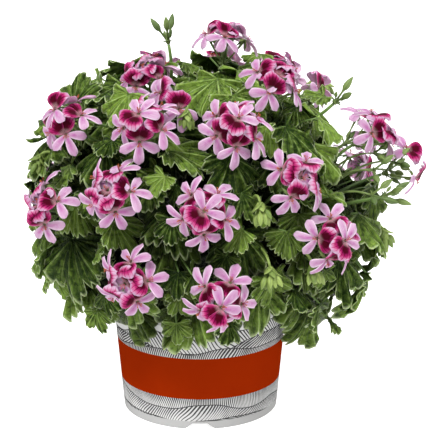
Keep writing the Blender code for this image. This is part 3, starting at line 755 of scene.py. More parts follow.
def leaf_sheet(skin, leaf, shade, rng):
    """A fine leaf: lobed and scalloped, with a ruffled edge and pleats that fan out."""
    per_tooth, rows = leaf.detail[:2]
    steps = round(LEAF_TEETH * per_tooth / 2)
    degrees = np.arange(-steps, steps + 1)[None, :] * TOOTH_PERIOD / per_tooth
    share = np.linspace(LEAF_START, 1.0, rows)[:, None] ** ROW_CROWDING
    turn = np.radians(degrees)
    angles, shares, lifts = LEAF_MARGIN.T
    margin = np.interp(np.abs(degrees), angles, shares) ** rng.uniform(*MARGIN_DEPTHS)
    lift = np.interp(np.abs(degrees), angles, lifts)
    tooth = np.abs(np.sin(math.pi * degrees / TOOTH_PERIOD)) - TOOTH_LEVEL
    reach = share * margin * (1 + TOOTH_DEPTH * tooth * share**3)
    height = lift * leaf.ruffle * share**1.5 - LEAF_DROOP * reach**2
    fan = FULL_TURN * degrees / LOBE_PERIOD
    for number, tall in PLEATS:
        height = height + tall * np.cos(number * fan) * share
    height = height + rng.uniform(*SIDE_BENDS) * np.sin(turn) ** 2 * reach
    height = height + rng.uniform(*TIP_BENDS) * reach**2
    for waves in FRILLS:
        phase = rng.uniform(0, FULL_TURN)
        height = height + FRILL_HEIGHT / waves * np.sin(waves * turn + phase) * share**3
    across = -np.sin(turn) * reach * leaf.width
    along = np.cos(turn) * reach * leaf.length
    sides = (across, leaf.forward.cross(leaf.normal)), (along, leaf.forward)
    grid = lay(leaf.joint, *sides, (height * leaf.length, leaf.normal))
    uv = stack(np.sin(turn) * reach, np.cos(turn) * reach)
    # How deep each point lies inside the crown, which the leaf look turns into painted shade
    inside = (grid - np.array(CROWN_MIDDLE)) / CROWN_SIZE
    inside[..., 2] *= np.where(inside[..., 2] > 0, CROWN_SIZE[2] / CROWN_TOP_SIZE, 1.0)
    tint = stack(shade, share, np.linalg.norm(inside, axis=2))
    sheet(skin, grid[:, ::-1], uv[:, ::-1], tint[:, ::-1], LEAF_BODY, 0, 1)


# Fill leaves, from the crown's surface inwards: number, share of the dome, share of a leaf's size;
# the deeper layer is darker, as painted shade
FILL_LAYERS = ((300, (0.86, 1.02), (0.42, 0.78)), (100, (0.66, 0.84), (0.80, 1.10)))
FILL_TRIES = 12
FILL_SEED = 7
FILL_RANGE = 1.62
FILL_STRAY = 0.12
FILL_STRAY_ROUND = 0.4
FILL_LOWEST, FILL_HIGHEST = -0.66, 0.97
FILL_HABIT = (0.8, 0.4, 0.45, 0.3, 0.8, 0.8)
FILL_STARTS = (0.2, 0.35, 0.5, 0.65, 0.8, 0.95)
FILL_REACH = 0.045
FILL_RUFFLES = (0.03, 0.09)
FILL_WIDTHS = (0.84, 1.0)
# Part of the pot's wall that no fill leaf hides: left, right, back, height
FREE_WALL = (-0.005, 0.062, -0.030, 0.084)
# Leaves that hang over the lip of the pot or stand up on the crown: x, y, z of the blade's
# middle, degrees that it faces, lift of its face, lift of its tip, share of a leaf's size
PLACED_LEAVES = (
    (-0.050, -0.060, 0.084, -35, 0.25, -1.0, 0.95),
    (-0.029, -0.071, 0.080, -20, 0.25, -1.0, 0.85),
    (0.046, -0.063, 0.090, 30, 0.25, -1.0, 0.75),
    (0.080, -0.025, 0.070, 25, 0.25, -1.0, 0.95),
    (0.080, 0.016, 0.094, 80, 0.25, -1.0, 0.85),
    (0.051, 0.061, 0.084, 140, 0.25, -1.0, 0.90),
    (0.003, 0.080, 0.080, 178, 0.25, -1.0, 0.85),
    (-0.045, 0.065, 0.083, -145, 0.25, -1.0, 0.95),
    (-0.084, 0.014, 0.098, -70, 0.25, -1.0, 0.85),
    (-0.062, -0.025, 0.252, -15, 0.35, 1.0, 0.75),
    (-0.044, -0.010, 0.260, 10, 0.35, 1.0, 0.70),
    (-0.086, -0.010, 0.236, -30, 0.35, 0.8, 0.75),
    (-0.105, -0.020, 0.214, -40, 0.35, 0.6, 0.75),
    (0.016, -0.005, 0.266, 0, 0.35, 1.0, 0.70),
    (0.036, 0.005, 0.262, 20, 0.35, 1.0, 0.70),
    (-0.012, 0.010, 0.266, -10, 0.35, 1.0, 0.75),
    (0.066, 0.010, 0.250, 20, 0.35, 1.0, 0.70),
    (0.020, 0.060, 0.256, 160, 0.35, 1.0, 0.75),
    (-0.035, 0.065, 0.250, -170, 0.35, 1.0, 0.75),
    (-0.071, 0.005, 0.222, 0, 0.25, -1.0, 0.85),
)
# How far such a leaf, its face and its tip go astray, and where on its stem it starts, if it
# hangs and if it stands
PLACED_STRAY, FACE_STRAY, TIP_STRAY = 0.004, 0.25, 0.35
HANGING_START, STANDING_START = 0.5, 0.95
PLACED_WIDTH = 0.88
PLACED_RUFFLES = (0.03, 0.08)


def placed_try(x, y, z, facing, face_lift, tip_lift, size, stems, rng):
    """One way to put a placed leaf close to where it is planned."""
    stray = wander(rng)
    normal = (direction(facing, 0.0) + UP * face_lift + stray * FACE_STRAY).normalized()
    forward = square_to(stray * TIP_STRAY + UP * tip_lift, normal)
    length = LEAF_LENGTH * size
    joint = Vector((x, y, z)) + stray * PLACED_STRAY - forward * (BLADE_MIDDLE * length)
    stem = nearest_stems(stems, joint)[0]
    root = stem.at(HANGING_START if tip_lift < 0 else STANDING_START)
    ruffle = rng.uniform(*PLACED_RUFFLES)
    sizes = length, length * PLACED_WIDTH, ruffle
    return stem, Leaf(root, joint, forward, normal, *sizes, 1.0, FILL_DETAIL)


def fill_try(spot, count, depths, sizes, stems, rng):
    """One way to place a fill leaf, at any depth of its layer."""
    rise = 1.0 - (spot + 0.5) / count * FILL_RANGE + rng.uniform(-FILL_STRAY, FILL_STRAY)
    rise = min(max(rise, FILL_LOWEST), FILL_HIGHEST)
    azimuth = spot * GOLDEN_ANGLE + rng.uniform(-FILL_STRAY_ROUND, FILL_STRAY_ROUND)
    middle = crown_point(azimuth, rise, rng.uniform(*depths))
    normal, forward = blade_lie(middle, rise, FILL_HABIT, rng)
    length = LEAF_LENGTH * rng.uniform(*sizes)
    joint = middle - forward * (length * BLADE_MIDDLE)
    stem = nearest_stems(stems, joint)[0]
    root = petiole_root(stem, joint, FILL_STARTS, FILL_REACH)
    ruffle = rng.uniform(*FILL_RUFFLES)
    width = length * rng.uniform(*FILL_WIDTHS)
    # Painted shade: the deeper a layer lies, the darker its leaves
    shade = depths[1] ** 3
    return stem, Leaf(root, joint, forward, normal, length, width, ruffle, shade, FILL_DETAIL)


def hides_print(leaf):
    """Whether a leaf's tip hangs in front of the print, where the plant leaves the pot free."""
    tip = leaf.joint + leaf.forward * leaf.length
    left, right, back, low = FREE_WALL
    return left < tip.x < right and tip.y < back and tip.z < low


def add_fill_leaves(stems, room):
    """Smaller and inner leaves that close the crown, clear of the flowers and other blades."""
    plans = [(placed_try, row) for row in PLACED_LEAVES]
    for layer in FILL_LAYERS:
        plans += [(fill_try, (spot, *layer)) for spot in range(layer[0])]
    for number, (one_try, plan) in enumerate(plans):
        rng = random.Random(FILL_SEED * 10000 + number)
        for _ in range(FILL_TRIES):
            stem, leaf = one_try(*plan, stems, rng)
            blade_shape = leaf_shape(leaf, CLEARANCE)[:2]
            free = room.is_clear(blade_shape, stems)
            if free and not in_open_side(leaf) and not hides_print(leaf):
                stem.leaves.append(leaf)
                room.add(blade_shape)
                break


BARK, GREEN = 0, 1
LEAF_SHADES = (0.1, 1.0)
PETIOLE_SHADE = 0.3
# Steps and sides of a stem and of a flower stalk, and a stem's swelling and its change per step
STEM_DETAIL = (16, 10)
STALK_DETAIL = (12, 8)
STEM_KNOTS, KNOT_STEP = 0.07, 4.1
PETIOLE_ENDS = (1.2 * PETIOLE_RADIUS, 0.75 * PETIOLE_RADIUS)
STALK_ENDS = (1.15 * STALK_RADIUS, 0.8 * STALK_RADIUS)


def make_foliage(stem, index, looks):
    """The fine leaves of a stem, and its bark, leaf stalks and flower stalks as a second piece."""
    node = f"leafy_stem_{index + 1:02d}"
    blades, wood = Skin(), Skin()
    rng = random.Random(FILL_SEED * 100 + index)
    steps, sides = STEM_DETAIL
    points, radii = stem.line(steps)
    knots = [1 + STEM_KNOTS * math.sin(KNOT_STEP * step) for step in range(len(radii))]
    radii = [radius * knot for radius, knot in zip(radii, knots)]
    rod(wood, points, radii, (rng.random(), 0.0, 0.0), BARK, sides)
    steps, sides = STALK_DETAIL
    for curve in stem.stalks:
        bent_rod(wood, curve, steps, STALK_ENDS, (rng.random(), 1.0, 0.0), GREEN, sides)
    for leaf in stem.leaves:
        steps, sides = leaf.detail[2:]
        # A leaf's brightness: a random tone times its layer's painted shade; its stalk follows it
        shade = leaf.shade * rng.uniform(*LEAF_SHADES)
        tint = (PETIOLE_SHADE + (1 - PETIOLE_SHADE) * shade, 0.5, 0.0)
        bent_rod(wood, petiole_curve(leaf), steps, PETIOLE_ENDS, tint, GREEN, sides)
        leaf_sheet(blades, leaf, shade, rng)
    blades.make(node + "_leaves", "foliage", [node], [looks["leaf"], looks["leaf_under"]])
    wood.make(node + "_stalks", "foliage", [node], [looks["bark"], looks["green"]])


UPPER_LOOK, LOWER_LOOK, BACK_LOOK = 0, 1, 2
# Shape of a petal: share of its width at the throat, shares of its length where it is full and
# where its tip starts, bluntness of its tip
UPPER_SHAPE = (0.22, 0.55, 0.50, 2.2)
LOWER_SHAPE = (0.40, 0.72, 0.68, 3.0)
# Petals: degrees round the throat, length, half width
UPPER_LENGTH = 1.10 * 0.0128
UPPER_PETALS = ((66, UPPER_LENGTH, 0.0064), (114, UPPER_LENGTH, 0.0064))
SIDE_LENGTH = 0.97 * 0.0150
LOWER_PETALS = (
    (209, SIDE_LENGTH, 0.0033),
    (270, 0.97 * 0.0160, 0.0033),
    (331, SIDE_LENGTH, 0.0033),
)
# The grid of a petal: shares of its length from the throat, shares of its half width
PETAL_SHARE = np.sin(np.linspace(0.0, math.pi / 2, 12))[:, None]
PETAL_ACROSS = np.linspace(-1.0, 1.0, 7)[None, :]
PETAL_BODY = 0.0003
PETAL_START, PETAL_REACH = 0.07, 0.93
PETAL_TIP = 0.065
TIP_CUT = 0.94
# Upper petals: height of their cup and its wave, share from which the tip folds back and how
# far, fall of their sides, height of the second over the first, frill and its waves
UPPER_CUPS, CUP_WAVE = (0.20, 0.30), 2.2
FOLD_FROM, FOLD_BACK = 0.7, 1.6
UPPER_FALL = 0.09
OVERLAP = 0.05
PETAL_FRILL, PETAL_FRILL_WAVES = 0.05, 3.6
# Lower petals: droop, twist, arch and its wave, fall of their sides, ridge and its waves
LOWER_DROOPS = (0.10, 0.26)
LOWER_TWISTS = (-0.06, 0.06)
LOWER_ARCH, ARCH_WAVE = 0.05, 3.1
LOWER_FALL = 0.04
LOWER_RIDGE, RIDGE_WAVES = 0.022, 5.5
LOWER_LENGTHS = (0.94, 1.02)
LOWER_WIDTHS = (0.92, 1.1)
# Degrees that a petal may stand astray
UPPER_STRAY, LOWER_STRAY = 3, 5


def petal_width(share, shape):
    """Half width of a petal as a share of its greatest one, from the throat to a round tip."""
    start, full, tip_start, blunt = shape
    swell = start + (1 - start) * np.sin(np.clip(share / full, 0, 1) * math.pi / 2)
    tip = np.sqrt(1 - np.clip((share - tip_start) / (1 - tip_start), 0, TIP_CUT) ** blunt)
    return swell * tip


def petal_sheet(skin, flower, petal, shape, rise, shade, look):
    """A petal from the throat outwards; rise is its height as a share of its length."""
    degrees, length, half_width = petal
    share, across = PETAL_SHARE, PETAL_ACROSS
    outward = flower.ray(math.radians(degrees))
    side = flower.normal.cross(outward)
    width = petal_width(share, shape) * half_width
    onward = length * (PETAL_START + PETAL_REACH * share)
    onward = onward - PETAL_TIP * length * across**2 * share**6
    parts = (onward, outward), (-across * width, side), (rise * length, flower.normal)
    tint = stack(shade, share, np.abs(across))
    sheet(skin, lay(flower.throat, *parts), stack(across, share), tint, PETAL_BODY, look, BACK_LOOK)


def add_petals(skin, flower, rng):
    """Two broad cupped petals that overlap, and three narrow ones that bend back."""
    share, across = PETAL_SHARE, PETAL_ACROSS
    shade = rng.random()
    for number, (degrees, length, half_width) in enumerate(UPPER_PETALS):
        cup = rng.uniform(*UPPER_CUPS) * np.sin(CUP_WAVE * share)
        phase = rng.uniform(0, FULL_TURN)
        back = FOLD_BACK * np.clip(share - FOLD_FROM, 0, 1) ** 2
        rise = cup - back - UPPER_FALL * across**2 * share + OVERLAP * number * share
        rise = rise + PETAL_FRILL * np.sin(PETAL_FRILL_WAVES * across + phase) * share**2
        petal = (degrees + rng.uniform(-UPPER_STRAY, UPPER_STRAY), length, half_width)
        petal_sheet(skin, flower, petal, UPPER_SHAPE, rise, shade, UPPER_LOOK)
    for degrees, length, half_width in LOWER_PETALS:
        droop = rng.uniform(*LOWER_DROOPS)
        twist = rng.uniform(*LOWER_TWISTS)
        arch = np.sin(ARCH_WAVE * share)
        rise = twist * across * share - droop * share**2 + LOWER_ARCH * arch
        rise = rise - LOWER_FALL * across**2 + LOWER_RIDGE * np.cos(RIDGE_WAVES * across) * arch
        turn = degrees + rng.uniform(-LOWER_STRAY, LOWER_STRAY)
        long, wide = rng.uniform(*LOWER_LENGTHS), rng.uniform(*LOWER_WIDTHS)
        petal = (turn, length * long, half_width * wide)
        petal_sheet(skin, flower, petal, LOWER_SHAPE, rise, shade, LOWER_LOOK)


STAMEN_LOOK = 1
STAMENS = 6
# A stamen: lean to a side and down, height of its end, the pull of both, height of its bend,
# depth of its root, lengths of the grain at its tip
STAMEN_ASIDE = (-0.35, 0.35)
STAMEN_DOWN = (0.1, 0.5)
STAMEN_HEIGHTS = (0.0020, 0.0034)
STAMEN_PULL, STAMEN_BEND, STAMEN_ROOT = 0.005, 0.0015, 0.0005
STAMEN_GRAIN = (0.0002, 0.0008, 0.0010)
STAMEN_RADII = (0.00022, 0.0002, 0.00018, 0.00016, 0.00016, 0.0003, 0.0003, 0.0001)
# Sepals: number, start, lean out and back, distance out, and length, half width and droop
SEPALS, SEPAL_START = 5, 0.25
SEPAL_OUT, SEPAL_BACK = 0.85, 0.5
SEPAL_REACH = 0.0006
SEPAL = (0.0075, 0.0012, -0.25)
CALYX_DEPTH = 0.0008
PEDICEL_SAG = 0.0012
PEDICEL_RADII = (0.0007, 0.00062, 0.0006, 0.0006, 0.00068, 0.00085, 0.0010, 0.0012)
BLADE_WIDTHS = np.array((0.6, 1.0, 0.95, 0.6, 0.12))[:, None]
BLADE_BODY = 0.0003
BLADE_CUP = 0.12
# A bud and its stalk: share of the length, share of the radius there
BUD_SHAPE = (
    (0, 0.35), (0.4, 0.3), (0.47, 0.42), (0.55, 0.85), (0.66, 1.0), (0.8, 0.82), (0.93, 0.42),
    (1, 0.1),
)
KNOB_RADII = (0.0011, 0.0019, 0.0012)
BRACTS = 6
BRACT_STRAY = 0.2
BRACT_LENGTHS = (0.8, 1.1)
BRACT_WIDTH, BRACT_DROOP = 0.28, -0.2
BRACT_LEAN = (0.1, 0.6)
INNER_FLOWER = 1.02
# Small buds of a head and of a spray: number, how far they lean aside, lengths, radius
HEAD_BUDS = (3, (0.1, 1.2), (0.012, 0.017), 0.0017)
SPRAY_BUDS = (3, 0.7, (0.008, 0.012), 0.0013)
SPRAY_SWELL = 1.1
HEAD_COLLAR, SPRAY_COLLAR = 0.0050, 0.0045
HEAD_SEED, SPRAY_SEED, SPRIG_SEED, UMBEL_SEED, SOIL_SEED = 900, 700, 57, 41, 3


def add_stamens(skin, flower, rng):
    """Thin threads that lean down out of the throat, with a grain at each tip."""
    for _ in range(STAMENS):
        lean = flower.lateral * rng.uniform(*STAMEN_ASIDE)
        lean -= flower.upward * rng.uniform(*STAMEN_DOWN)
        end = flower.throat + flower.normal * rng.uniform(*STAMEN_HEIGHTS) + lean * STAMEN_PULL
        control = flower.throat + flower.normal * STAMEN_BEND
        path = bend(flower.throat - flower.normal * STAMEN_ROOT, control, end, 4)
        tip = (end - control).normalized()
        path += [end + tip * reach for reach in STAMEN_GRAIN]
        rod(skin, path, STAMEN_RADII, (rng.random(), 0.0, 0.0), STAMEN_LOOK, 4)


def blade(skin, root, outward, normal, length, half_width, droop, shade):
    """A small pointed green blade, such as a sepal or a bract."""
    share = np.linspace(0.0, 1.0, len(BLADE_WIDTHS))[:, None]
    across = np.linspace(-1.0, 1.0, 3)[None, :]
    width = half_width * BLADE_WIDTHS
    height = droop * share**2 + BLADE_CUP * across**2 * half_width / length
    parts = (-across * width, normal.cross(outward)), (height * length, normal)
    grid = lay(root, (share * length, outward), *parts)
    sheet(skin, grid, stack(across, share), stack(shade, share, np.abs(across)), BLADE_BODY)


def add_calyx(skin, flower, origin, rng):
    """A flower's thin stalk, its swollen tube and five sepals that lie back from the petals."""
    shade = rng.random()
    inset = flower.throat - flower.normal * CALYX_DEPTH
    path = bend(origin, (origin + inset) / 2 - flower.upward * PEDICEL_SAG, inset, 7)
    rod(skin, path, PEDICEL_RADII, (shade, 0.8, 0.0))
    for number in range(SEPALS):
        outward = flower.ray(FULL_TURN * (number + SEPAL_START) / SEPALS) * SEPAL_OUT
        outward = (outward - flower.normal * SEPAL_BACK).normalized()
        normal = square_to(flower.normal, outward)
        blade(skin, inset + outward * SEPAL_REACH, outward, normal, *SEPAL, shade)


def add_bud(skin, root, along, length, radius, shade):
    """A pointed bud with its stalk."""
    path = [root + along * (length * share) for share, _ in BUD_SHAPE]
    rod(skin, path, [radius * width for _, width in BUD_SHAPE], (shade, 0.9, 0.0), sides=8)


def add_bracts(skin, origin, axis, length, lean, rng):
    """Small pointed bracts where the stalks of an umbel meet; lean draws them along its axis."""
    side = axis.orthogonal().normalized()
    other = axis.cross(side)
    for number in range(BRACTS):
        turn = FULL_TURN * number / BRACTS + rng.uniform(-BRACT_STRAY, BRACT_STRAY)
        outward = (around(turn, side, other) + axis * rng.uniform(*lean)).normalized()
        size = length * rng.uniform(*BRACT_LENGTHS), BRACT_WIDTH * length, BRACT_DROOP
        blade(skin, origin, outward, square_to(axis, outward), *size, rng.random())


def add_knob(skin, head, length, rng):
    """The swollen end of a flower stalk, with its collar of bracts."""
    path = [head.origin + head.axis * reach for reach in (-KNOB_DEPTH, 0.0, KNOB_REACH)]
    rod(skin, path, KNOB_RADII, (0.5, 0.8, 0.0), sides=8)
    add_bracts(skin, head.origin, head.axis, length, BRACT_LEAN, rng)


def make_head(head, index, looks):
    """A fine flower head in place of its plain one: petals, then stalks, calyces and buds.

    A small ring is closed by a younger flower in its middle.
    """
    node = f"flower_head_{index + 1:02d}"
    petals, green = Skin(), Skin()
    rng = random.Random(HEAD_SEED + index)
    flowers = head.flowers(index)
    if 3 <= head.count < CENTRED_FROM:
        upward = square_to(flowers[0].upward, head.axis)
        flowers.append(head.middle_flower(INNER_FLOWER * PEDICEL_LENGTH, upward))
    for flower in flowers:
        add_petals(petals, flower, rng)
        add_calyx(green, flower, head.origin, rng)
        add_stamens(green, flower, rng)
    add_knob(green, head, HEAD_COLLAR, rng)
    count, leans, lengths, radius = HEAD_BUDS
    for _ in range(count):
        side = aside(head.axis, rng.uniform(0, FULL_TURN))
        along = (head.axis + side * rng.uniform(*leans)).normalized()
        add_bud(green, head.origin, along, rng.uniform(*lengths), radius, rng.random())
    petal_looks = [looks["upper_petal"], looks["lower_petal"], looks["petal_back"]]
    petals.make(node + "_petals", "petals", [node], petal_looks)
    green.make(node + "_calyces", "foliage", [node], [looks["calyx"], looks["stamen"]])


def make_spray(spray, index, looks):
    """A fine bud spray in place of its plain one."""
    node = f"bud_spray_{index + 1:02d}"
    skin = Skin()
    rng = random.Random(SPRAY_SEED + index)
    length = KNOB_REACH + BUD_STALK + BUD_LENGTH
    for along in spray.buds(index):
        add_bud(skin, spray.origin, along, length, SPRAY_SWELL * BUD_RADIUS, rng.random())
    count, lean, lengths, radius = SPRAY_BUDS
    for _ in range(count):
        side = Vector((rng.uniform(-1, 1), rng.uniform(-1, 1), 0))
        along = (spray.axis + side * lean).normalized()
        add_bud(skin, spray.origin, along, rng.uniform(*lengths), radius, rng.random())
    add_knob(skin, spray, SPRAY_COLLAR, rng)
    skin.make(node + "_fine", "buds", [node], [looks["calyx"]])


# Thin stalks that end in small buds: seed, look, places as degrees round, degrees up, reach and
# number of buds, share of the stem where they start, lift of their end, distance inwards and up
# of their bend, radii and shade, lengths and radius of a bud, length and lean of a bract
Tufts = namedtuple(
    "Tufts", "seed look places start lift inward up radii shade lengths radius bract lean"
)
YOUNG_UMBELS = Tufts(
    seed=UMBEL_SEED, look="bud",
    places=(
        (16, 13, 0.136, 8), (19, -6, 0.134, 9), (33, -7, 0.134, 6), (-36, 15, 0.128, 6),
        (-8, 44, 0.120, 5), (120, 38, 0.126, 7), (-160, 30, 0.126, 7), (170, -4, 0.132, 8),
        (-76, 18, 0.126, 6), (82, -8, 0.130, 6),
    ),
    start=0.8, lift=0.008, inward=0.012, up=0.016, radii=(0.0013, 0.0010), shade=0.6,
    lengths=(0.013, 0.019), radius=0.0023, bract=0.0105, lean=(0.9, 2.2),
)
SPRIGS = Tufts(
    seed=SPRIG_SEED, look="calyx",
    places=(
        (72, 22, 0.134, 3), (78, 17, 0.142, 3), (64, 18, 0.136, 2), (84, 26, 0.126, 2),
        (58, 12, 0.138, 3), (90, 12, 0.136, 3),
    ),
    start=0.9, lift=0.0, inward=0.030, up=0.012, radii=(0.0010, 0.0007), shade=0.7,
    lengths=(0.014, 0.020), radius=0.0025, bract=0.0040, lean=(0.3, 1.0),
)
THIN_STEPS = 12
# A young umbel: how far it nods outwards, spread of its first bud and of those after it
UMBEL_NOD = 0.35
UMBEL_SPREAD = (0.15, 0.45)
# A bud of a sprig: how far it points outwards, aside and down
SPRIG_OUT, SPRIG_ASIDE, SPRIG_DOWN = 0.7, (0.5, 1.0), (0.0, 0.5)


def umbel_buds(outward, count, rng):
    """Directions of a young umbel's axis and of each of its buds, which nod over and spread."""
    axis = (outward * UMBEL_NOD - UP).normalized()
    yield axis
    first, more = UMBEL_SPREAD
    for number in range(count):
        yield axis + aside(axis, number * GOLDEN_ANGLE) * (first + more * number / count)


def sprig_buds(outward, count, rng):
    """Directions of a sprig's axis and of each of its buds, which lean aside and down."""
    yield outward
    for number in range(count):
        side = aside(outward, number * GOLDEN_ANGLE) * rng.uniform(*SPRIG_ASIDE)
        yield outward * SPRIG_OUT + side - UP * rng.uniform(*SPRIG_DOWN)


def make_tufts(name, tufts, buds, stems, looks):
    """Thin arching stalks that each carry a few small buds, with bracts at their roots."""
    skin = Skin()
    rng = random.Random(tufts.seed)
    for azimuth, elevation, reach, count in tufts.places:
        outward = direction(azimuth, elevation)
        origin = CROWN_MIDDLE + outward * reach + UP * tufts.lift
        root = nearest_stems(stems, origin)[0].at(tufts.start)
        curve = root, origin - outward * tufts.inward + UP * tufts.up, origin
        bent_rod(skin, curve, THIN_STEPS, tufts.radii, (tufts.shade, 1.0, 0.0))
        ways = buds(outward, count, rng)
        axis = next(ways)
        for along in ways:
            length = rng.uniform(*tufts.lengths)
            add_bud(skin, origin, along.normalized(), length, tufts.radius, rng.random())
        add_bracts(skin, origin, axis, tufts.bract, tufts.lean, rng)
    skin.make(name, "buds", [], [looks[tufts.look]])


POT_COLUMNS = 192
BASE_RING_TOP = 0.0062
PLAIN_LOOK, PRINT_LOOK, BAND_LOOK = 0, 1, 2
# Heights of the wall's rings from its foot to its lip, by the look of the wall above each
WALL_RINGS = (
    (PLAIN_LOOK, (0.0022, 0.0045)),
    (PRINT_LOOK, (BASE_RING_TOP, 0.0120, 0.0180)),
    (BAND_LOOK, (0.0237, 0.0340, 0.0450)),
    (PRINT_LOOK, (0.0553, 0.0630, 0.0710)),
)
CORNER = 0.0005
CENTRE = 0.0004
PLASTIC_CREASE = 30
NOTCH_COUNT = 3
NOTCH_BOTTOM = 0.022
NOTCH_TOP = 0.0105
NOTCH_HEIGHT = 0.0045
DRAIN_COUNT = 4
DRAIN_RADIUS = 0.004
DRAIN_CIRCLE = 0.038
DRAIN_START = 30.0
DRILL_SIDES = 24
CUT_PAST = 0.002


def fine_pot_profile():
    """The pot's section as (radius, height, look of the face that follows), corners rounded."""
    foot = [
        (CENTRE, 0.0),
        (CENTRE_FOOT_RADIUS - CORNER, 0.0),
        (CENTRE_FOOT_RADIUS, CORNER),
        (CENTRE_FOOT_RADIUS, FLOOR_HEIGHT - CORNER),
        (CENTRE_FOOT_RADIUS + CORNER, FLOOR_HEIGHT),
        (FOOT_INSIDE - CORNER, FLOOR_HEIGHT),
        (FOOT_INSIDE, FLOOR_HEIGHT - CORNER),
        (FOOT_INSIDE, CORNER),
        (FOOT_INSIDE + CORNER, 0.0),
        (POT_FOOT_RADIUS - CORNER, 0.0),
        (wall_radius(CORNER), CORNER),
    ]
    rings = [(height, look) for look, heights in WALL_RINGS for height in heights]
    wall = [(wall_radius(height), height, look) for height, look in rings]
    out, top = wall_radius(LIP_LOW), wall_radius(POT_HEIGHT)
    floor = wall_radius(FLOOR_TOP) - POT_WALL
    lip = [
        (out, LIP_LOW - 0.0003),
        (out + 0.0002, LIP_LOW),
        (out + 0.8 * LIP_PROUD, LIP_LOW + 0.0002),
        (out + LIP_PROUD, LIP_LOW + 0.0008),
        (top + LIP_PROUD, POT_HEIGHT - 0.0009),
        (top + 0.6 * LIP_PROUD, POT_HEIGHT - 0.0001),
        (top - 0.3 * POT_WALL, POT_HEIGHT),
        (top - POT_WALL, POT_HEIGHT - 0.0006),
        (wall_radius(0.05) - POT_WALL, 0.05),
        (floor, FLOOR_TOP + CORNER),
        (floor - CORNER, FLOOR_TOP),
        (CENTRE, FLOOR_TOP),
    ]
    foot, lip = ([(*row, PLAIN_LOOK) for row in rows] for rows in (foot, lip))
    return np.array(foot + wall + lip)


def revolve(profile, columns):
    """Angles round the Z axis, and the radii and heights of a section at each of them."""
    azimuth = np.arange(columns) * FULL_TURN / columns
    return azimuth, *(np.repeat(profile[:, i, None], columns, 1) for i in (0, 1))


def ring_points(azimuth, radius, height):
    """Points at angles round the Z axis from the front, at these radii and heights."""
    return stack(radius * np.sin(azimuth), -radius * np.cos(azimuth), height).reshape(-1, 3)


def notch_height(azimuth):
    """How high the foot ring is cut away at this angle: a trapezoid at each notch."""
    step = FULL_TURN / NOTCH_COUNT
    offset = np.abs((azimuth + step / 2) % step - step / 2) * POT_FOOT_RADIUS
    slope = (NOTCH_BOTTOM - NOTCH_TOP) / 2 / NOTCH_HEIGHT
    return np.clip((NOTCH_BOTTOM / 2 - offset) / slope, 0.0, NOTCH_HEIGHT)


def turned_object(name, profile, sides):
    """A closed turned solid as an object of the scene."""
    verts, faces = turned(profile, sides)
    mesh = bpy.data.meshes.new(name)
    mesh.from_pydata(verts, [], faces)
    return show(name, mesh)


def drill(piece):
    """Cuts the drain holes through the pot's raised floor."""
    low, high = FLOOR_HEIGHT - CUT_PAST, FLOOR_TOP + CUT_PAST
    profile = [(0.0, low), (DRAIN_RADIUS, low), (DRAIN_RADIUS, high), (0.0, high)]
    cutters = []
    for number in range(DRAIN_COUNT):
        cutter = turned_object("drill", profile, DRILL_SIDES)
        turn = DRAIN_START + number * 360 / DRAIN_COUNT
        cutter.location = direction(turn, 0.0) * DRAIN_CIRCLE
        piece.modifiers.new("drain", "BOOLEAN").object = cutter
        cutters.append(cutter)
    view = bpy.context.evaluated_depsgraph_get()
    piece.data = bpy.data.meshes.new_from_object(piece.evaluated_get(view))
    piece.data.set_sharp_from_angle(angle=math.radians(PLASTIC_CREASE))
    piece.modifiers.clear()
    for cutter in cutters:
        bpy.data.objects.remove(cutter)


def make_fine_pot(looks):
    """The pot with its foot notches, drain holes, band and rounded lip."""
    profile = fine_pot_profile()
    azimuth, radius, height = revolve(profile, POT_COLUMNS)
    foot = (radius > FOOT_INSIDE - 1e-6) & (height < BASE_RING_TOP)
    height = np.where(foot, np.maximum(height, notch_height(azimuth)), height)
    quads = closed_quads(len(profile), POT_COLUMNS)
    wall_looks = np.repeat(profile[:-1, 2].astype(int), POT_COLUMNS)
    face_looks = np.full(len(quads), PLAIN_LOOK)
    face_looks[: len(wall_looks)] = wall_looks
    skin = Skin()
    uv = stack(azimuth, height).reshape(-1, 2)
    points = ring_points(azimuth, radius, height)
    skin.add(points, quads, uv, (0.0, 0.0, 0.0), face_looks)
    drill(skin.make("pot_fine", "pot", ["pot"], [looks["plastic"], looks["print"], looks["band"]]))


SOIL_COLUMNS = 72
# Rings of the soil's top as shares of its radius
SOIL_RINGS = (0.98, 0.9, 0.8, 0.68, 0.55, 0.42, 0.28, 0.14, 0.006)
SOIL_ROUGHNESS = (-0.0016, 0.0006)
SOIL_BEVEL = 0.0008
CRUMBS = 420
CRUMB_SIZES = (0.0007, 0.0021)
CRUMB_INSET = 0.004
# A crumb: how far it lies out of the soil and tips, its rings along it, girths of the two in
# the middle, and of those at its ends, all as shares of its size
CRUMB_RISE, CRUMB_TIP = 0.3, 0.4
CRUMB_RINGS = (-1.0, -0.5, 0.4, 1.0)
CRUMB_GIRTHS = ((0.6, 0.8), (0.5, 0.8))
CRUMB_ENDS = (0.35, 0.3)


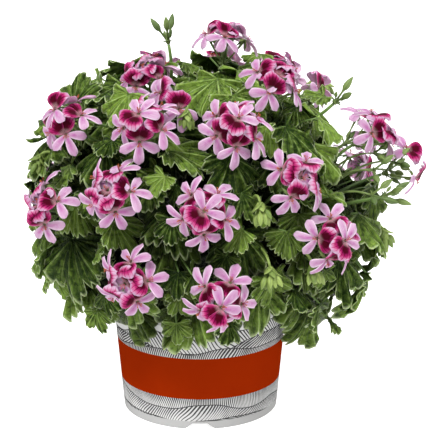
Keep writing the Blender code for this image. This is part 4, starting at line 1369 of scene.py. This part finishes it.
def make_fine_soil(looks):
    """The root ball: a plug with a rough top, strewn with crumbs of bark, peat and grit."""
    rng = random.Random(SOIL_SEED)
    skin = Skin()
    _, (foot, low), (edge, _), _ = soil_profile()
    profile = [(CENTRE, low), (foot, low), (edge, SOIL_TOP - SOIL_BEVEL)]
    profile = np.array(profile + [(edge * share, SOIL_TOP) for share in SOIL_RINGS])
    azimuth, radius, height = revolve(profile, SOIL_COLUMNS)
    draws = np.array([[rng.uniform(*SOIL_ROUGHNESS) for _ in azimuth] for _ in profile])
    height[3:-1] += draws[3:-1]
    points = ring_points(azimuth, radius, height)
    quads = closed_quads(len(profile), SOIL_COLUMNS)
    skin.add(points, quads, (0.0, 0.0), (0.3, 0.0, 0.0))
    for _ in range(CRUMBS):
        turn = rng.uniform(0, FULL_TURN)
        reach = (edge - CRUMB_INSET) * math.sqrt(rng.random())
        size = rng.uniform(*CRUMB_SIZES)
        flat = math.sin(turn) * reach, -math.cos(turn) * reach
        centre = Vector((*flat, SOIL_TOP + CRUMB_RISE * size))
        axis = Vector([rng.uniform(-reach, reach) for reach in (1, 1, CRUMB_TIP)]).normalized()
        path = [centre + axis * (size * offset) for offset in CRUMB_RINGS]
        first, last = CRUMB_ENDS
        girths = [first, *(rng.uniform(*girth) for girth in CRUMB_GIRTHS), last]
        rod(skin, path, [size * girth for girth in girths], (rng.random(), 1.0, 0.0))
    skin.make("soil_crumbs", "soil", ["soil"], [looks["soil"]])


class Wire:
    """A value in a node tree; arithmetic with it adds Math nodes."""

    def __init__(self, nodes, socket):
        self.nodes = nodes
        self.socket = socket

    def __add__(self, other):
        return self.nodes.math("ADD", self, other)

    def __sub__(self, other):
        return self.nodes.math("SUBTRACT", self, other)

    def __rsub__(self, other):
        return self.nodes.math("SUBTRACT", other, self)

    def __mul__(self, other):
        return self.nodes.math("MULTIPLY", self, other)

    def __truediv__(self, other):
        return self.nodes.math("DIVIDE", self, other)


class Nodes:
    """A node tree and short ways to build it."""

    def __init__(self, tree):
        self.tree = tree

    def node(self, kind, sockets, output=0, **settings):
        """A node of a kind with its settings made and its sockets set or linked."""
        node = self.tree.nodes.new("ShaderNode" + kind)
        for name, value in settings.items():
            setattr(node, name, value)
        for key, value in sockets.items():
            self.put(node.inputs[key], value)
        return Wire(self, node.outputs[output])

    def put(self, socket, value):
        if isinstance(value, Wire):
            self.tree.links.new(value.socket, socket)
        else:
            colour = isinstance(value, tuple) and len(value) == 3
            socket.default_value = (*value, 1.0) if colour else value

    def math(self, operation, *values):
        return self.node("Math", dict(enumerate(values)), operation=operation)

    def fold(self, value, step):
        """The value folded back and forth between nought and step."""
        return self.math("PINGPONG", value, step)

    def mix(self, factor, first, second):
        return self.node("Mix", {0: factor, 6: first, 7: second}, 2, data_type="RGBA")

    def ramp(self, value, low, high, start=0.0, end=1.0, interpolation="SMOOTHSTEP"):
        """A step from start at low to end at high."""
        sockets = {"Value": value, "From Min": low, "From Max": high}
        sockets.update({"To Min": start, "To Max": end})
        return self.node("MapRange", sockets, interpolation_type=interpolation)

    def noise(self, place, scale, detail=3.0, distortion=0.0):
        sockets = {"Vector": place, "Scale": scale, "Detail": detail, "Distortion": distortion}
        return self.node("TexNoise", sockets)

    def place(self, kind="Object"):
        return self.node("TexCoord", {}, kind)

    def parts(self, vector):
        """The three numbers of a vector."""
        node = self.tree.nodes.new("ShaderNodeSeparateXYZ")
        self.put(node.inputs[0], vector)
        return [Wire(self, output) for output in node.outputs]

    def tint(self):
        """The three tint values of a point."""
        return self.parts(self.node("Attribute", {}, attribute_name="tint"))


class Look(Nodes):
    """A Principled material."""

    def __init__(self, name, roughness, **fixed):
        self.material = bpy.data.materials.new(name)
        self.material.use_nodes = True
        super().__init__(self.material.node_tree)
        self.shader = self.tree.nodes["Principled BSDF"]
        self.shader.inputs["Roughness"].default_value = roughness
        for socket, value in fixed.items():
            self.shader.inputs[socket.replace("_", " ")].default_value = value

    def finish(self, colour, height=None, strength=0.3, distance=0.0005):
        """The material with its colour and its bump linked."""
        self.put(self.shader.inputs["Base Color"], colour)
        if height is not None:
            sockets = {"Height": height, "Strength": strength, "Distance": distance}
            self.put(self.shader.inputs["Normal"], self.node("Bump", sockets))
        return self.material


def scaled(colour, share):
    """A darker shade of a colour."""
    return tuple(share * value for value in colour)


# Light that passes through a petal's thin tissue and through a leaf
PETAL_BODY_LOOK = {
    "Specular_IOR_Level": 0.03,
    "Subsurface_Weight": 0.6,
    "Subsurface_Scale": 0.0012,
    "Subsurface_Radius": (1.0, 0.75, 0.9),
}
LEAF_BODY_LOOK = {
    "Specular_IOR_Level": 0.06,
    "Subsurface_Weight": 0.3,
    "Subsurface_Scale": 0.0008,
    "Subsurface_Radius": (0.6, 1.0, 0.15),
}

# Leaf colours: dark tissue, bright tissue, the veins of each, and a paler edge that is a painted
# highlight
LEAF_COLOURS = (
    (0.008, 0.021, 0.002),
    (0.150, 0.234, 0.038),
    (0.046, 0.080, 0.011),
    (0.34, 0.44, 0.16),
    (0.42, 0.50, 0.26),
)
# Underside colours: paler than the top, partly the underside's own colour, partly painted light
# that stands for light shining through the leaf
UNDER_COLOURS = (
    (0.038, 0.072, 0.012),
    (0.125, 0.200, 0.042),
    (0.06, 0.10, 0.02),
    (0.180, 0.260, 0.070),
    (0.20, 0.28, 0.09),
)
# Veins of a leaf: degrees between them, share of its length where they begin, strength
VEINS = ((50.0, 0.0, 1.0), (50.0 / 3, 0.18, 0.75), (25.0 / 3, 0.45, 0.6))
VEIN_WIDTH = 0.016
HALF_FOLD = math.radians(50.0 / 3 / 2)


def leaf_look(name, colours, roughness):
    """Leaf tissue: fanned veins, a paler toothed edge as painted highlight, each leaf's own tone,
    painted pleat and crinkle shading, painted shade deep in the crown.
    """
    dark, bright, deep_vein, vein, rim = colours
    look = Look(name, roughness, **LEAF_BODY_LOOK)
    across, along, _ = look.parts(look.place("UV"))
    shade, edge, depth = look.tint()
    spot = look.place()
    patch = look.noise(spot, 60.0, 4.0)
    grain = look.noise(spot, 700.0)
    crinkle_relief_and_shade = look.noise(spot, 230.0, 2.0, 0.8)
    reach = look.math("SQRT", across * across + along * along)
    angle = look.math("ARCTAN2", across, along) + (patch - 0.5) * 0.10
    # Painted light and shade on the pleats: lighter ridges and darker valleys between the veins
    fold = look.ramp(look.fold(angle + HALF_FOLD, HALF_FOLD), 0.0, HALF_FOLD)
    fold = fold * look.ramp(reach, 0.1, 0.5)
    veins = 0.0
    for step, start, strength in VEINS:
        off = reach * look.math("SINE", look.fold(angle, math.radians(step / 2)))
        line = look.ramp(off, VEIN_WIDTH, 0.2 * VEIN_WIDTH, 0.0, strength)
        veins = look.math("MAXIMUM", veins, line * look.ramp(reach, start, start + 0.2))
    # The fold and crinkle terms are painted light and shade of the leaf's relief; shade, patch and
    # grain are its own tone
    lean = shade * 0.65 + patch * 0.4 + grain * 0.2 + fold * 0.30 + (crinkle_relief_and_shade - 0.5) * 1.25
    bloom = look.ramp(lean, 0.30, 1.35)
    colour = look.mix(bloom, dark, bright)
    colour = look.mix(veins * 0.75, colour, look.mix(bloom, deep_vein, vein))
    # Painted highlight along the leaf's edge
    colour = look.mix(look.ramp(edge, 0.93, 1.0, 0.0, 0.72), colour, rim)
    # Painted shade: leaves deep inside the crown are darkened
    colour = look.mix(look.ramp(depth, 0.97, 0.66, 0.0, 0.95), colour, scaled(dark, 0.15))
    return look.finish(colour, grain + (crinkle_relief_and_shade * 1.5 + fold) - veins, 0.9, 0.0012)


# Petal colours; a pair is for the palest and the deepest flowers
PALE_FACE = ((0.402, 0.284, 0.376), (0.350, 0.214, 0.318))
# Backs paler than faces: partly their own colour, partly painted light that lifts the shade on
# backs turned from the lamps
PALE_BACK = ((0.640, 0.500, 0.600), (0.600, 0.430, 0.550))
BLOTCH = (0.300, 0.012, 0.100)
BLOTCH_MIDDLE = (0.0367, 0.0, 0.0047)
UPPER_THROAT = (0.400, 0.2667, 0.2667)
STREAK = (0.280, 0.060, 0.180)
LOWER_FLUSH = (0.290, 0.090, 0.235)
LOWER_EDGE = (0.530, 0.425, 0.500)
LOWER_THROAT = (0.3667, 0.2333, 0.200)
BACK_VEIN = (0.400, 0.180, 0.330)
BACK_FLUSH = (0.380, 0.120, 0.270)


def petal_lines(look, across, along, soft, pitch, wobble, width):
    """Fine lines that fan out along a petal."""
    lines = look.fold(across * (1.25 - along), pitch)
    return look.ramp(lines + soft * wobble, *width)


def petal_look(name, upper):
    """Petal tissue: a blotch and feathered lines on the upper petals, streaks on the lower ones."""
    look = Look(name, 0.6, **PETAL_BODY_LOOK)
    across, along, _ = look.parts(look.place("UV"))
    shade, _, rim = look.tint()
    spot = look.place()
    soft = look.noise(spot, 260.0) - 0.5
    pale = look.mix(shade, *PALE_FACE)
    line = petal_lines(look, across, along, soft, 0.11, 0.04, (0.035, 0.004))
    if upper:
        wide = across * 0.95
        tall = (along - 0.40) * look.ramp(along, 0.3, 0.5, 1.6, 2.1)
        span = look.math("SQRT", wide * wide + tall * tall) + soft * 0.7 - line * 0.26
        colour = look.mix(look.ramp(span, 1.34, 0.70), pale, BLOTCH)
        colour = look.mix(look.ramp(span, 0.92, 0.30), colour, BLOTCH_MIDDLE)
        throat = look.ramp(along, 0.30, 0.04) * (1.0 - line)
        colour = look.mix(throat * 0.6, colour, UPPER_THROAT)
    else:
        streak = line * look.ramp(along, 0.95, 0.1, 0.10, 0.75)
        colour = look.mix(streak, pale, STREAK)
        flush = look.ramp(rim, 0.75, 0.05) * look.ramp(soft, -0.25, 0.12)
        flush = flush * look.ramp(along, 1.0, 0.35, 0.15, 0.95)
        colour = look.mix(flush, colour, LOWER_FLUSH)
        colour = look.mix(look.ramp(rim, 0.60, 1.0, 0.0, 0.75), colour, LOWER_EDGE)
        colour = look.mix(look.ramp(along, 0.16, 0.0, 0.0, 0.6), colour, LOWER_THROAT)
    return look.finish(colour, line * -0.6 + look.noise(spot, 1800.0, 2.0), 0.25, 0.0002)


def petal_back_look():
    """Backs of petals: paler than the faces, partly as painted light, with soft veins and the
    blotch shining through.
    """
    look = Look("petal_back", 0.6, **PETAL_BODY_LOOK)
    across, along, _ = look.parts(look.place("UV"))
    shade, _, rim = look.tint()
    soft = look.noise(look.place(), 260.0)
    line = petal_lines(look, across, along, soft, 0.16, 0.05, (0.07, 0.02))
    colour = look.mix(line * 0.35, look.mix(shade, *PALE_BACK), BACK_VEIN)
    flush = look.ramp(rim, 0.8, 0.1) * look.ramp(along, 0.95, 0.35)
    return look.finish(look.mix(flush * 0.3, colour, BACK_FLUSH), line, 0.25, 0.0002)


def green_look(name, low, high):
    """Soft green stalks and buds, with painted shade deep in the crown and fine ribs along them."""
    look = Look(name, 0.5, Specular_IOR_Level=0.25)
    turn, _, _ = look.parts(look.place("UV"))
    shade, _, _ = look.tint()
    spot = look.place()
    lean = shade * 0.6 + look.noise(spot, 140.0) * 0.7
    colour = look.mix(look.ramp(lean, 0.2, 1.1), low, high)
    rib = look.fold(turn, 0.125)
    colour = look.mix(look.ramp(rib, 0.06, 0.0, 0.0, 0.35), colour, scaled(low, 0.55))
    # Painted shade: stalks and buds deep inside the crown are darkened
    offset = look.node("VectorMath", {0: spot, 1: CROWN_MIDDLE}, operation="SUBTRACT")
    inside = look.node("VectorMath", {0: offset, 1: list(CROWN_SIZE)}, operation="DIVIDE")
    depth = look.node("VectorMath", {0: inside}, 1, operation="LENGTH")
    colour = look.mix(look.ramp(depth, 0.85, 0.50, 0.0, 0.90), colour, scaled(low, 0.10))
    return look.finish(colour, rib * 6.0 + look.noise(spot, 1500.0, 2.0), 0.25, 0.0003)


def bark_look():
    """Stems that are brown and cracked at the soil and green towards their tips."""
    look = Look("bark", 0.75)
    spot = look.place()
    _, _, rise = look.parts(spot)
    patch = look.noise(spot, 220.0, 5.0, 0.6)
    brown = look.mix(patch, (0.0367, 0.0213, 0.0107), (0.1067, 0.0733, 0.0367))
    green = look.mix(patch, (0.030, 0.0667, 0.0147), (0.0733, 0.1267, 0.0333))
    colour = look.mix(look.ramp(rise + patch * 0.05, 0.105, 0.165), brown, green)
    return look.finish(colour, look.noise(spot, 700.0, 5.0, 0.8), 0.6, 0.0008)


def stamen_look():
    """Pink threads with rust-brown grains."""
    look = Look("stamen", 0.5, Specular_IOR_Level=0.2)
    _, along, _ = look.parts(look.place("UV"))
    grain = look.noise(look.place(), 2600.0, 2.0)
    tip = look.mix(grain, (0.240, 0.0367, 0.010), (0.3667, 0.1067, 0.0267))
    colour = look.mix(look.ramp(along, 0.45, 0.62), (0.300, 0.0667, 0.0933), tip)
    return look.finish(colour, grain, 0.4, 0.0002)


def soil_look():
    """Dark peat; some crumbs are brown bark, and a few are pale grit."""
    look = Look("soil", 0.95)
    shade, crumb, _ = look.tint()
    fine = look.noise(look.place(), 800.0, 6.0)
    colour = look.mix(fine, (0.0067, 0.004, 0.0027), (0.0333, 0.0207, 0.012))
    colour = look.mix(crumb * look.ramp(shade, 0.55, 0.9), colour, (0.060, 0.0347, 0.0187))
    colour = look.mix(crumb * look.ramp(shade, 0.955, 0.965), colour, (0.3667, 0.3533, 0.320))
    return look.finish(colour, fine, 0.9, 0.0015)


def plastic_look(name, colour, deep):
    """Moulded plastic: nearly even, with a faint grain and faint handling marks."""
    look = Look(name, 0.5, Specular_IOR_Level=0.0)
    spot = look.place()
    cloud = look.noise(spot, 18.0, 4.0)
    look.put(look.shader.inputs["Roughness"], look.ramp(cloud, 0.3, 0.7, 0.42, 0.58))
    paint = look.mix(look.ramp(cloud, 0.25, 0.8), colour, deep)
    return look.finish(paint, look.noise(spot, 1600.0, 2.0), 0.12, 0.0002)


# Hatched hills of the print, those at the back first: height of the crest, its swing, slant of
# the lines, weight, pitch
HILLS = (
    (0.0725, 0.034, 0.9, 0.10, 0.0023),
    (0.0650, 0.026, -0.6, 0.20, 0.0019),
    (0.0580, 0.016, 1.9, 0.14, 0.0016),
    (0.0270, 0.014, 1.4, 0.12, 0.0015),
    (0.0180, 0.020, -0.9, 0.04, 0.0018),
    (0.0100, 0.014, 0.3, 0.20, 0.0015),
)
CREST_LINE = 0.00032
POT_MEAN_RADIUS = 0.0605
PAPER = ((0.535, 0.535, 0.528), (0.455, 0.455, 0.451))
INK = (0.014, 0.014, 0.015)


def print_look():
    """A plain print of hills: bands with wavy crests, each hatched with a slant of its own."""
    look = Look("hatched_print", 0.5, Specular_IOR_Level=0.0)
    spot = look.place()
    x, y, z = look.parts(spot)
    round_wall = look.math("ARCTAN2", x, y * -1.0) * POT_MEAN_RADIUS
    rough = look.noise(spot, 130.0, 5.0)
    ink = 0.0
    for number, (crest, swing, slant, weight, pitch) in enumerate(HILLS):
        place = look.node("CombineXYZ", {0: x, 1: y, 2: 0.2 * number})
        under = (look.noise(place, 13.0, 1.5) - 0.5) * (2.0 * swing) + crest - z
        bow = look.noise(spot, 26.0 + number, 1.0) - 0.5
        run = round_wall * math.sin(slant) + z * math.cos(slant) + bow * 0.014
        comb = look.fold(run, pitch / 2) / (pitch / 2)
        heavy = look.ramp(under, 0.0, 0.012, weight + 0.2, weight - 0.1) + rough * 0.6
        crest_line = look.ramp(look.math("ABSOLUTE", under), 1.6 * CREST_LINE, CREST_LINE)
        lines = look.math("MAXIMUM", look.ramp(comb - heavy, 0.10, -0.10), crest_line)
        inside = look.math("GREATER_THAN", under, -CREST_LINE)
        ink = look.node("Mix", {0: inside, 2: ink, 3: lines})
    paper = look.mix(look.ramp(look.noise(spot, 40.0), 0.3, 0.7), *PAPER)
    colour = look.mix(ink * 0.94, paper, INK)
    return look.finish(colour, look.noise(spot, 1600.0, 2.0), 0.1, 0.0002)


def make_looks():
    return {
        "leaf": leaf_look("leaf", LEAF_COLOURS, 0.42),
        "leaf_under": leaf_look("leaf_under", UNDER_COLOURS, 0.7),
        "upper_petal": petal_look("upper_petal", True),
        "lower_petal": petal_look("lower_petal", False),
        "petal_back": petal_back_look(),
        "green": green_look("green_stalk", (0.050, 0.095, 0.019), (0.125, 0.205, 0.050)),
        "calyx": green_look("calyx", (0.046, 0.082, 0.018), (0.150, 0.206, 0.060)),
        "bud": green_look("bud", (0.078, 0.128, 0.022), (0.230, 0.300, 0.078)),
        "stamen": stamen_look(),
        "bark": bark_look(),
        "soil": soil_look(),
        "plastic": plastic_look("pot_plastic", (0.358, 0.358, 0.353), (0.326, 0.326, 0.321)),
        "print": print_look(),
        "band": plastic_look("red_band", (0.230, 0.0163, 0.0009), (0.210, 0.0138, 0.0008)),
    }


CAMERA_PLACE = Vector((0.0123, -1.3, 0.504))
CAMERA_PITCH = 15.5
CAMERA_LENS = 153.3
# Suns: place that the light comes from, strength, degrees across
SUNS = {
    "key": ((-0.6, -1.1, 1.7), 4.2, 20.0),
    "fill": ((1.1, -1.2, 1.4), 1.7, 50.0),
    "top": ((0.3, 1.0, 1.5), 1.6, 60.0),
}
FLOOR_RADIUS = 12.0
FLOOR_LOW, FLOOR_LEVEL = -0.02, -0.0002
FLOOR_SIDES = 96
FLOOR_GLOW = 0.80


def make_camera():
    """A camera at the photograph's viewing angle."""
    data = bpy.data.cameras.new("camera")
    data.lens = CAMERA_LENS
    data.sensor_width = 36.0
    camera = show("camera", data)
    camera.location = CAMERA_PLACE
    camera.rotation_euler = (math.radians(90 - CAMERA_PITCH), 0.0, 0.0)
    bpy.context.scene.camera = camera


def make_sun(name, place, strength, spread):
    """Soft light that comes from the direction of a place towards the plant."""
    data = bpy.data.lights.new(name, "SUN")
    data.energy = strength
    data.angle = math.radians(spread)
    light = show(name, data)
    light.location = place
    light.rotation_euler = Vector(place).to_track_quat("Z", "Y").to_euler()


def make_world():
    """Pale light all round, bright at the horizon and softer from above."""
    world = bpy.data.worlds.new("studio")
    world.use_nodes = True
    sky = Nodes(world.node_tree)
    background = sky.tree.nodes["Background"]
    background.inputs["Color"].default_value = (1.0, 1.0, 1.0, 1.0)
    _, _, rise = sky.parts(sky.place("Generated"))
    sky.put(background.inputs["Strength"], sky.ramp(rise, 0.06, 0.22, 1.05, 0.36, "LINEAR"))
    bpy.context.scene.world = world


def make_stage():
    """A pale floor, soft light from all sides and a stronger one from the upper left."""
    profile = [(0.0, FLOOR_LOW), (FLOOR_RADIUS, FLOOR_LOW)]
    profile += [(FLOOR_RADIUS, FLOOR_LEVEL), (0.0, FLOOR_LEVEL)]
    floor = turned_object("floor", profile, FLOOR_SIDES)
    look = Look("floor", 0.9)
    look.put(look.shader.inputs["Emission Color"], (1.0, 1.0, 1.0))
    look.put(look.shader.inputs["Emission Strength"], FLOOR_GLOW)
    cloud = look.noise(look.place(), 3.0, 2.0)
    paint = look.mix(cloud, (0.56, 0.56, 0.56), (0.60, 0.60, 0.60))
    floor.data.materials.append(look.finish(paint))
    make_world()
    for name, sun in SUNS.items():
        make_sun(name, *sun)
    bpy.context.scene.view_settings.view_transform = "Standard"


def build():
    stems, heads, sprays, room = lay_out()
    add_fill_leaves(stems, room)
    looks = make_looks()
    for index, stem in enumerate(stems):
        make_foliage(stem, index, looks)
    for index, head in enumerate(heads):
        make_head(head, index, looks)
    for index, spray in enumerate(sprays):
        make_spray(spray, index, looks)
    make_tufts("young_umbels", YOUNG_UMBELS, umbel_buds, stems, looks)
    make_tufts("bud_sprigs", SPRIGS, sprig_buds, stems, looks)
    make_fine_pot(looks)
    make_fine_soil(looks)
    make_stage()
    make_camera()


build()
bpy.context.view_layer.update()
